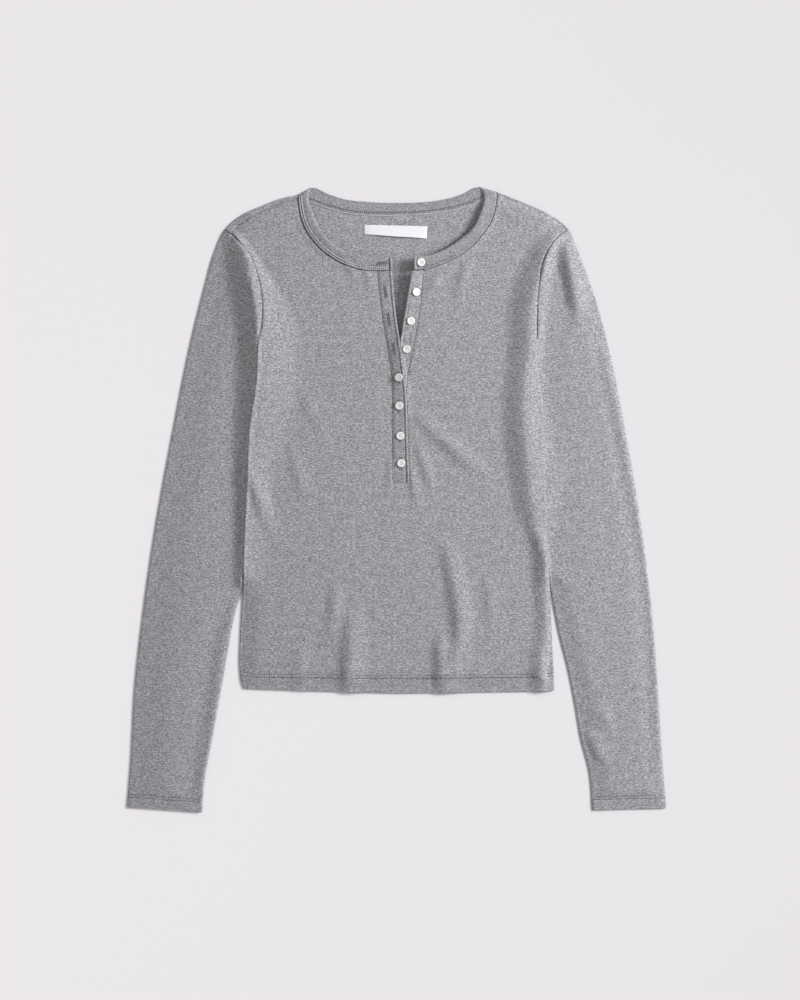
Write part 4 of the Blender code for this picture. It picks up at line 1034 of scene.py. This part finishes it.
def add_cloth(name, patches, flats, walls, material, node, up=True):
    """A closed shell of cloth from patches of its outer face that meet along shared edges.

    flats gives each patch's coordinates on the flat cloth, walls its thickness: more in a hem.
    """
    mesh = bmesh.new()
    cloth = mesh.verts.layers.float_vector.new("flat_cloth")
    for patch, flat, thick in zip(patches, flats, walls):
        rows, columns = patch.shape[:2]
        grid = bmesh.ops.create_grid(mesh, x_segments=columns - 1, y_segments=rows - 1, size=1.0)
        for vert, place, spot, depth in zip(grid["verts"], patch.reshape(-1, 3), flat.reshape(-1, 2),
                                            thick.ravel()):
            vert.co = Vector(place) * MM
            vert[cloth] = (spot[0] * MM, spot[1] * MM, depth)
    bmesh.ops.remove_doubles(mesh, verts=mesh.verts, dist=WELD)
    bmesh.ops.recalc_face_normals(mesh, faces=mesh.faces)
    mesh.faces.ensure_lookup_table()
    mesh.verts.ensure_lookup_table()
    middle = mesh.faces[len(mesh.faces) // 8]
    if (middle.normal.z > 0) != up:
        bmesh.ops.reverse_faces(mesh, faces=mesh.faces)
    chart = mesh.loops.layers.uv.new("cloth")
    for face in mesh.faces:
        for loop in face.loops:
            loop[chart].uv = loop.vert[cloth].xy
    thickest = max(vert[cloth].z for vert in mesh.verts)
    shares = [vert[cloth].z / thickest for vert in mesh.verts]
    piece = finish(name, mesh, material, node)
    group = piece.vertex_groups.new(name="wall")
    for index, share in enumerate(shares):
        group.add([index], share, "REPLACE")
    solid = piece.modifiers.new("wall", "SOLIDIFY")
    solid.thickness = thickest * MM
    solid.offset = -1.0
    solid.vertex_group = "wall"
    rounded = piece.modifiers.new("edges", "BEVEL")
    rounded.width = EDGE_BEVEL * MM
    rounded.segments = 2
    rounded.limit_method = "ANGLE"
    rounded.angle_limit = np.radians(BEVEL_ANGLE)
    return piece


def hem_wall(run, depth):
    """Thickness of the cloth: doubled within its hem."""
    return np.where(run < depth, HEM_WALL, WALL)


def turned(points, angle, offset):
    """Plan points turned by an angle in degrees and moved: the grain of a piece of cloth."""
    angle = np.radians(angle)
    matrix = np.array(((np.cos(angle), -np.sin(angle)), (np.sin(angle), np.cos(angle))))
    return points @ matrix.T + offset


def threads(name, ends, width, material):
    """One mesh of short threads, each between two points."""
    mesh = bmesh.new()
    for start, end in ends:
        start, end = Vector(start) * MM, Vector(end) * MM
        turn = (end - start).to_track_quat("X", "Z").to_matrix().to_4x4()
        size = Matrix.Diagonal(((end - start).length / 2, width / 2 * MM, width / 2 * MM, 1.0))
        place = Matrix.Translation((start + end) / 2)
        bmesh.ops.create_icosphere(mesh, subdivisions=1, radius=1.0, matrix=place @ turn @ size)
    return finish(name, mesh, material)


def running(points, pitch, length):
    """Ends of even stitches along a line of 3-D points."""
    run = run_of(points)
    count = max(int(run[-1] / pitch), 1)
    middles = (np.arange(count) + 0.5) * run[-1] / count
    ends = [np.stack([np.interp(np.clip(middles + shift, 0, run[-1]), run, points[:, axis])
                      for axis in range(3)], axis=1) for shift in (-length / 2, length / 2)]
    return list(zip(*ends))


# Where each piece of cloth lies on the flat cloth, so that no two show the same streaks.
BACK_GRAIN = (900.0, 300.0)
SLEEVE_GRAIN = 1500.0
PLACKET_GRAIN = (0.0, 2100.0)


def grain(patches, angle=0.0, offset=(0.0, 0.0)):
    """The patches' plan as coordinates on the flat cloth, in mm."""
    return [turned(patch[..., :2].reshape(-1, 2), angle, offset).reshape(*patch.shape[:2], 2)
            for patch in patches]


def body_walls(patches):
    """Thickness of the body's cloth, doubled within its hem."""
    return [hem_wall(hem_distance(patch[..., :2].reshape(-1, 2)), HEM_DEPTH).reshape(patch.shape[:2])
            for patch in patches]


def add_front():
    """The front panel, open along its slit."""
    patches = [raised(front_half(side), front_height) for side in SIDES]
    return add_cloth("front_cloth", patches, grain(patches), body_walls(patches), jersey,
                     "front_panel")


def add_back():
    """The back panel, over both shoulders to the seams in front."""
    patches = [back_half(side) for side in SIDES]
    return add_cloth("back_cloth", patches, grain(patches, 0.0, BACK_GRAIN), body_walls(patches), jersey,
                     "back_panel", up=False)


def add_sleeve(side):
    """A sleeve: a flattened tube, hemmed at the cuff."""
    upper, lower, run = sleeve_layers(side)
    wall = hem_wall(run, CUFF_DEPTH)
    flats = grain([upper, lower], hand(side) * SLEEVE_LEAN, (hand(side) * SLEEVE_GRAIN, 0.0))
    return add_cloth(f"{side}_sleeve_cloth", [upper, lower], flats, [wall, wall], jersey,
                     f"{side}_sleeve")


def add_neckband():
    """The neckband, folded double along its free edge."""
    patches, flats = neckband_patches()
    walls = [np.full(patch.shape[:2], BAND_WALL) for patch in patches]
    return add_cloth("neckband_cloth", patches, flats, walls, folded_jersey, "neckband")


def add_placket(name):
    """A placket strip with its folded edges."""
    patch = placket_patch(name)
    return add_cloth(f"{name}_cloth", [patch], grain([patch], 0.0, PLACKET_GRAIN),
                     [np.full(patch.shape[:2], PLACKET_WALL)], folded_jersey, name)


front = add_front()
back = add_back()
sleeves = {side: add_sleeve(side) for side in SIDES}
neckband = add_neckband()
placket_over = add_placket("placket_over")
placket_under = add_placket("placket_under")


# Buttons. Columns: node, x, y, the piece that carries it.
BUTTONS = (("button_1", 26.8, 259.9, "neckband"), ("button_2", 21.3, 227.5, "placket_under"),
           ("button_3", 15.7, 195.9, "placket_under"), ("button_4", 10.8, 165.0, "placket_under"),
           ("button_5", 2.6, 133.8, "placket_over"), ("button_6", 3.0, 102.9, "placket_over"),
           ("button_7", 4.2, 69.9, "placket_over"), ("button_8", 5.0, 39.8, "placket_over"))
BUTTON_FOOT = 3.4            # radius that a button rests on
BUTTON_STEPS = 24
# Half section of a button from its centre underneath, round its rim, to the middle of its dish.
BUTTON_SECTION = ((0.0, 0.0), (3.4, 0.0), (4.1, 0.25), (4.48, 0.7), (4.55, 1.1), (4.42, 1.5), (4.1, 1.78),
                  (3.7, 1.9), (3.3, 1.88), (3.0, 1.8), (2.7, 1.74), (1.75, 1.7), (1.0, 1.7), (0.0, 1.7))
HOLE_RING = (1.0, 1.75)      # the holes lie between these radii
# these buttons get the greyer resin: painted shade, as they lie in shade
SHADED_BUTTONS = ("button_4", "button_5")
HOLE_DEPTH = 1.0
HOLE_FLOOR = 1.0             # holes are pressed from the faces above this height
SAME_ANGLE = 0.02
SEAT_GAP = 0.1
THREAD_RADIUS = 1.4          # a bar of thread between two holes, and its height
THREAD_HEIGHT = 1.68
SHANK = (-0.5, 0.8)          # heights of the thread's shank


def seat(x, y, carrier):
    """Where a button lies: flat against the cloth below it, turned as it happens to be sewn."""
    spots = np.array([(x - BUTTON_FOOT, y), (x, y), (x + BUTTON_FOOT, y)])
    height = BAND_TOP + crease_rise(spots) if carrier == "neckband" else placket_face(carrier)(spots)
    slope = (height[2] - height[0]) / (2 * BUTTON_FOOT)
    low = max(height[1], (height[0] + height[2]) / 2) + SEAT_GAP
    return (Matrix.Translation(Vector((x, y, low)) * MM) @ Matrix.Rotation(-np.arctan(slope), 4, "Y")
            @ Matrix.Rotation(2.1 * y + x, 4, "Z"))


def add_button(node, x, y, carrier):
    """A turned four-hole button with a raised rim."""
    mesh = bmesh.new()
    points = [mesh.verts.new((r * MM, 0, z * MM)) for r, z in BUTTON_SECTION]
    edges = [mesh.edges.new(pair) for pair in zip(points[:-1], points[1:])]
    bmesh.ops.spin(mesh, geom=points + edges, cent=(0, 0, 0), axis=(0, 0, 1), dvec=(0, 0, 0),
                   angle=2 * np.pi, steps=BUTTON_STEPS, use_merge=True, use_duplicate=False)
    bmesh.ops.remove_doubles(mesh, verts=mesh.verts, dist=WELD)
    bmesh.ops.recalc_face_normals(mesh, faces=mesh.faces)
    per_hole = BUTTON_STEPS // 4
    for quarter in range(4):
        angles = [(quarter * per_hole + step + 0.5) * 2 * np.pi / BUTTON_STEPS for step in (2, 3)]
        pair = []
        for face in mesh.faces:
            middle = face.calc_center_median() / MM
            radius, angle = np.hypot(middle.x, middle.y), np.arctan2(middle.y, middle.x) % (2 * np.pi)
            if (HOLE_RING[0] < radius < HOLE_RING[1] and middle.z > HOLE_FLOOR
                    and min(abs(angle - wanted) for wanted in angles) < SAME_ANGLE):
                pair.append(face)
        shared = set(pair[0].edges) & set(pair[1].edges)
        bmesh.ops.dissolve_edges(mesh, edges=list(shared), use_verts=False)
        mesh.faces.ensure_lookup_table()
    sunk = [face for face in mesh.faces if len(face.verts) > 4
            and face.calc_center_median().z > HOLE_FLOOR * MM
            and HOLE_RING[0] < face.calc_center_median().xy.length / MM < HOLE_RING[1]]
    pressed = bmesh.ops.extrude_discrete_faces(mesh, faces=sunk)
    for face in pressed["faces"]:
        bmesh.ops.translate(mesh, verts=face.verts, vec=(0, 0, -HOLE_DEPTH * MM))
    bmesh.ops.transform(mesh, matrix=seat(x, y, carrier), verts=mesh.verts)
    # painted shade on the buttons that lie in shade
    material = shaded_pearl if node in SHADED_BUTTONS else pearl
    return finish(node.replace("button", "pearl_button"), mesh, material, node)


def sewn(x, y, carrier):
    """The threads that hold a button: two bars across its holes, and a short shank below."""
    place = seat(x, y, carrier)
    ends = []
    for holes in ((0, 1), (2, 3)):
        angles = [np.pi / 4 + quarter * np.pi / 2 for quarter in holes]
        ends.append([(THREAD_RADIUS * np.cos(angle), THREAD_RADIUS * np.sin(angle), THREAD_HEIGHT)
                     for angle in angles])
    ends.append([(0, 0, height) for height in SHANK])
    return [[(place @ (Vector(end) * MM)) / MM for end in pair] for pair in ends]


button_ends = []
for node, x, y, carrier in BUTTONS:
    add_button(node, x, y, carrier)
    button_ends += sewn(x, y, carrier)
button_threads = threads("button_threads", button_ends, 0.5, white_thread)


# Label
LABEL = ((-35.8, 291.5), (33.0, 286.9), (34.0, 300.5), (-35.2, 302.0))
LABEL_WALL = 0.4
LABEL_BEVEL = 0.1
LABEL_FACE = 1.6
LABEL_RISE = 1.8             # it stands proud along its lower edge, and its ends are sewn down
LABEL_END_DIP = 0.35
LABEL_WAVE = 0.15            # of its lower edge


def add_label():
    """A bare woven label, sewn down at its ends and a little proud between them."""
    low_right, low_left, high_left, high_right = (np.array(corner) for corner in LABEL)
    along_it = np.array([0, 0.01, 0.03, 0.06, *np.linspace(0.1, 0.9, 33), 0.94, 0.97, 0.99, 1])
    across = np.array([0, 0.04, 0.12, 0.25, 0.4, 0.55, 0.7, 0.85, 0.95, 1])
    u, v = np.meshgrid(along_it, across, indexing="ij")
    lower = low_right + (low_left - low_right) * u[..., None]
    upper = high_right + (high_left - high_right) * u[..., None]
    flat = lower + (upper - lower) * v[..., None]
    flat[..., 1] += LABEL_WAVE * np.sin(3 * np.pi * u) * (1 - v)
    height = LABEL_FACE + LABEL_RISE * np.sin(np.pi * u)**0.5 * (1 - v)**1.2
    height -= LABEL_END_DIP * np.abs(2 * u - 1)**12
    piece = add_cloth("label_tape", [np.dstack([flat, height])], [flat], [np.full(u.shape, LABEL_WALL)],
                      tape, "neck_label")
    piece.modifiers["edges"].width = LABEL_BEVEL * MM
    return piece


label = add_label()


# Stitching
def lay(line, height_of, lift=0.0):
    """A plan line laid on a face."""
    return np.column_stack([line, height_of(line) + lift])


def parallel(curve, distance, share=(0.0, 1.0), count=200):
    """The curve moved to its left, between two shares of its length."""
    shares = np.linspace(*share, count)
    return along(curve, shares) + left_of(curve, shares) * distance


HEM_STITCH = dict(pitch=2.6, length=1.9)
hem_line = np.array([(-169.5, -209.2), *HEM_EDGE[2:-2], (172.0, -209.2)])


def hem_row(depth, face, lift):
    """Ends of a row of stitches in the body's hem."""
    return running(lay(hem_line + [0, depth], face, lift), **HEM_STITCH)


hem_rows = hem_row(HEM_DEPTH, front_height, 0.0) + hem_row(HEM_DEPTH - TWIN_GAP, front_height, 0.25)
hem_stitches = threads("hem_stitches", hem_rows, 0.85, dark_thread)
back_rows = hem_row(HEM_DEPTH, back_height, 0.15) + hem_row(HEM_DEPTH - TWIN_GAP, back_height, 0.15)
back_hem_stitches = threads("back_hem_stitches", back_rows, 0.7, grey_thread)


def cuff_line(side, depth):
    """A line across a cuff, a depth above its edge."""
    start, end = (at(edge, (length_of(edge) - depth,))[0] for edge in (SLEEVE_SIDE[side], SLEEVE_OUTER[side]))
    return start + (end - start) * np.linspace(0.02, 0.98, 60)[:, None]


def cuff_row(side, depth, height_at, lift):
    """Ends of a row of stitches in a cuff, on its upper or its under face."""
    line = cuff_line(side, depth)
    return running(lay(line, height_at(side, np.full(len(line), depth)), lift), **HEM_STITCH)


for side in SIDES:
    ends = []
    for depth, lift in ((CUFF_DEPTH, 0.3), (CUFF_DEPTH - TWIN_GAP, 0.0)):
        ends += cuff_row(side, depth, sleeve_height, lift) + cuff_row(side, depth, sleeve_under_height, 0.2)
    threads(f"{side}_cuff_stitches", ends, 0.85, dark_thread)

# The neck's coverstitch: two cords on the band at the right; at the left one between two rows of ticks.
# Columns: side, offset from the seam (towards the band below 0), start from the slit, lift, stitch length.
NECK_PITCH = 2.2
CORD_STITCH = 2.5
TICK = 1.2
NECK_ROWS = (("right", -1.4, 3.6, 0.1, CORD_STITCH), ("right", -3.7, 3.6, 0.1, CORD_STITCH),
             ("left", 0.0, 11.0, 1.2, CORD_STITCH), ("left", -1.6, 11.0, 0.15, TICK),
             ("left", 1.6, 11.0, 0.15, TICK))
neck_threads = {CORD_STITCH: [], TICK: []}
for side, offset, start, lift, length in NECK_ROWS:
    line = parallel(NECK_SEAM[side], hand(side) * offset, (start / length_of(NECK_SEAM[side]), 0.985))
    face = band_face(side) if offset < 0 else front_height
    neck_threads[length] += running(lay(line, face, lift), NECK_PITCH, length)
neck_stitches = threads("neck_stitches", neck_threads[CORD_STITCH], 1.3, light_thread)
neck_ticks = threads("neck_ticks", neck_threads[TICK], 0.8, grey_thread)


def inner_back_face(points):
    """Height of the back's inner face, seen through the neck opening."""
    return back_height(points) + WALL


# Inside the back: the neck seam's chain stitch on the band, and a cord below it.
CHAIN_PITCH = 2.3
CHAIN_LIFT = 0.15
inside = BACK_SEAM["right"]
chain_count = int(0.88 * length_of(inside) / CHAIN_PITCH)
chain_low, chain_high = (parallel(inside, away, (0.06, 0.94), chain_count) for away in (1.0, 2.7))
chain = [[(*end, BAND_WALL + CHAIN_LIFT) for end in pair] for pair in zip(chain_low, chain_high)]
chain_stitches = threads("back_neck_chain", chain, 1.15, dark_thread)
cord_line = lay(parallel(inside, -1.7, (0.05, 0.95)), inner_back_face, 0.3)
back_neck_cord = threads("back_neck_cord", running(cord_line, 1.5, 2.0), 1.5, light_thread)


def edge_line(name, edge, inset, lift):
    """A line of stitches beside a placket's sewn edge."""
    line = parallel(PLACKET_EDGES[name][edge], inset, (0.012, 0.985))
    return running(lay(line, placket_face(name), lift), 2.5, 2.1)


over_stitches = threads("over_placket_stitches", edge_line("placket_over", "right", 0.4, 0.1), 0.5,
                        mid_thread)
under_stitches = threads("under_placket_stitches", edge_line("placket_under", "left", -0.4, 0.3), 0.7,
                         grey_thread)

# Buttonholes on the over placket, and the neckband's. Columns: x, y, direction.
BUTTONHOLES = ((-12.2, 228.3, (-4, 26)), (-8.3, 197.5, (-4.5, 30)), (-2.8, 165.2, (-4, 28)),
               (2.6, 133.8, (-1.5, 30)), (3.0, 102.9, (-1, 32)), (4.2, 69.9, (-1, 32)), (5.0, 39.8, (0, 1)))
BUTTONHOLE = 14.5            # its length
BAND_BUTTONHOLE = (-15.6, 259.4, (1, 0.12))
BAND_BUTTONHOLE_LENGTH = 12.5
SATIN_PITCH = 0.62
SATIN_MIDDLE = 1.05          # of the satin stitches, from the slit, and half their length
SATIN_HALF = 0.75
SATIN_LIFT = 0.2
SLIT_HALF = 0.46             # share of the buttonhole's length, to each side of its middle
SLIT_LIFT = 0.25


def buttonhole(x, y, ahead, length, face):
    """Satin stitches down both sides of a buttonhole, and a dark strip along its slit: painted shadow of the
    slit's inside.
    """
    ahead = np.array(ahead, float) / np.linalg.norm(ahead)
    across = np.array((-ahead[1], ahead[0]))
    steps = np.arange(-0.5 * length, 0.5 * length + 0.01, SATIN_PITCH)
    satin = []
    for side in (-1, 1):
        line = np.array((x, y)) + steps[:, None] * ahead + side * SATIN_MIDDLE * across
        near, far = line - side * SATIN_HALF * across, line + side * SATIN_HALF * across
        height = face(line)[:, None] + SATIN_LIFT
        satin += list(zip(np.hstack([near, height]), np.hstack([far, height])))
    tips = np.array([np.array((x, y)) + share * SLIT_HALF * length * ahead for share in (-1, 1)])
    return satin, tuple(np.hstack([tips, face(tips)[:, None] + SLIT_LIFT]))


holes = [buttonhole(*row, BUTTONHOLE, placket_face("placket_over")) for row in BUTTONHOLES]
holes.append(buttonhole(*BAND_BUTTONHOLE, BAND_BUTTONHOLE_LENGTH, band_face("right")))
satin_rows = [stitch for satin, _ in holes for stitch in satin]
buttonhole_stitches = threads("buttonhole_stitches", satin_rows, 0.6, satin_thread)
# dark strips along the slits: painted shadow
buttonhole_slit_shadows = threads("buttonhole_slit_shadows", [slit for _, slit in holes], 0.6, slit_shadow_thread)


# Floor, light and camera
SKY = 0.585                  # light from all round, and that of the softbox on the floor's middle
SOFTBOX = 0.715
SOFTBOX_SIZE = 0.85
softbox_at = Vector((1.91, 0.70, 1.27))
FLOOR_COLOUR = (0.645, 0.627, 0.645)
FLOOR_HALF = 6.0
FLOOR_BELOW = 0.0003         # the board lies this far below the cloth
MOTTLE = 0.01
LIGHTEST = 1.4
CAMERA_AT = (0.00385, -0.00055, 2.6)
FOCAL_LENGTH = 85.09


def painted_board(name):
    """Matt painted board, rolled on, so faintly mottled. Its tone evens out the softbox's falloff."""
    material, tree, shader = new_material(name, {"Roughness": 0.9, "Specular IOR Level": 0.1})
    place = place_in(tree)
    away = add_node(tree, "ShaderNodeVectorMath", {0: place, 1: tuple(softbox_at)}, operation="DISTANCE")
    fall = maths(tree, "POWER", maths(tree, "DIVIDE", softbox_at.length, away.outputs["Value"]), 3.0)
    tone = maths(tree, "DIVIDE", SKY + SOFTBOX, maths(tree, "MULTIPLY_ADD", fall, SOFTBOX, SKY))
    faint = maths(tree, "MULTIPLY_ADD", clouds(tree, place, 3.0, Detail=2.0), MOTTLE, tone)
    paint = add_node(tree, "ShaderNodeVectorMath", {0: FLOOR_COLOUR,
                                                    "Scale": maths(tree, "MINIMUM", faint, LIGHTEST)},
                     operation="SCALE")
    tree.links.new(paint.outputs["Vector"], shader.inputs["Base Color"])
    return material


board = bmesh.new()
bmesh.ops.create_grid(board, x_segments=1, y_segments=1, size=FLOOR_HALF)
bmesh.ops.translate(board, verts=board.verts, vec=(0, 0, -FLOOR_BELOW))
floor = mesh_object("table_top", board, painted_board("pale_painted_board"))

world = bpy.data.worlds.new("studio")
bpy.context.scene.world = world
world.use_nodes = True
world.node_tree.nodes["Background"].inputs["Color"].default_value = (1.0, 0.995, 1.0, 1.0)
world.node_tree.nodes["Background"].inputs["Strength"].default_value = SKY

lamp = bpy.data.lights.new("softbox", "AREA")
lamp.shape = "DISK"
lamp.size = SOFTBOX_SIZE
lamp.energy = SOFTBOX * np.pi**2 * softbox_at.length**3 / softbox_at.z
softbox = add_object("softbox", lamp)
softbox.location = softbox_at
softbox.rotation_euler = softbox_at.to_track_quat("Z", "Y").to_euler()

lens = bpy.data.cameras.new("camera")
lens.sensor_fit = "VERTICAL"
lens.sensor_height = 36.0
lens.lens = FOCAL_LENGTH
camera = add_object("camera", lens)
camera.location = CAMERA_AT
bpy.context.scene.camera = camera
bpy.context.scene.view_settings.view_transform = "Standard"
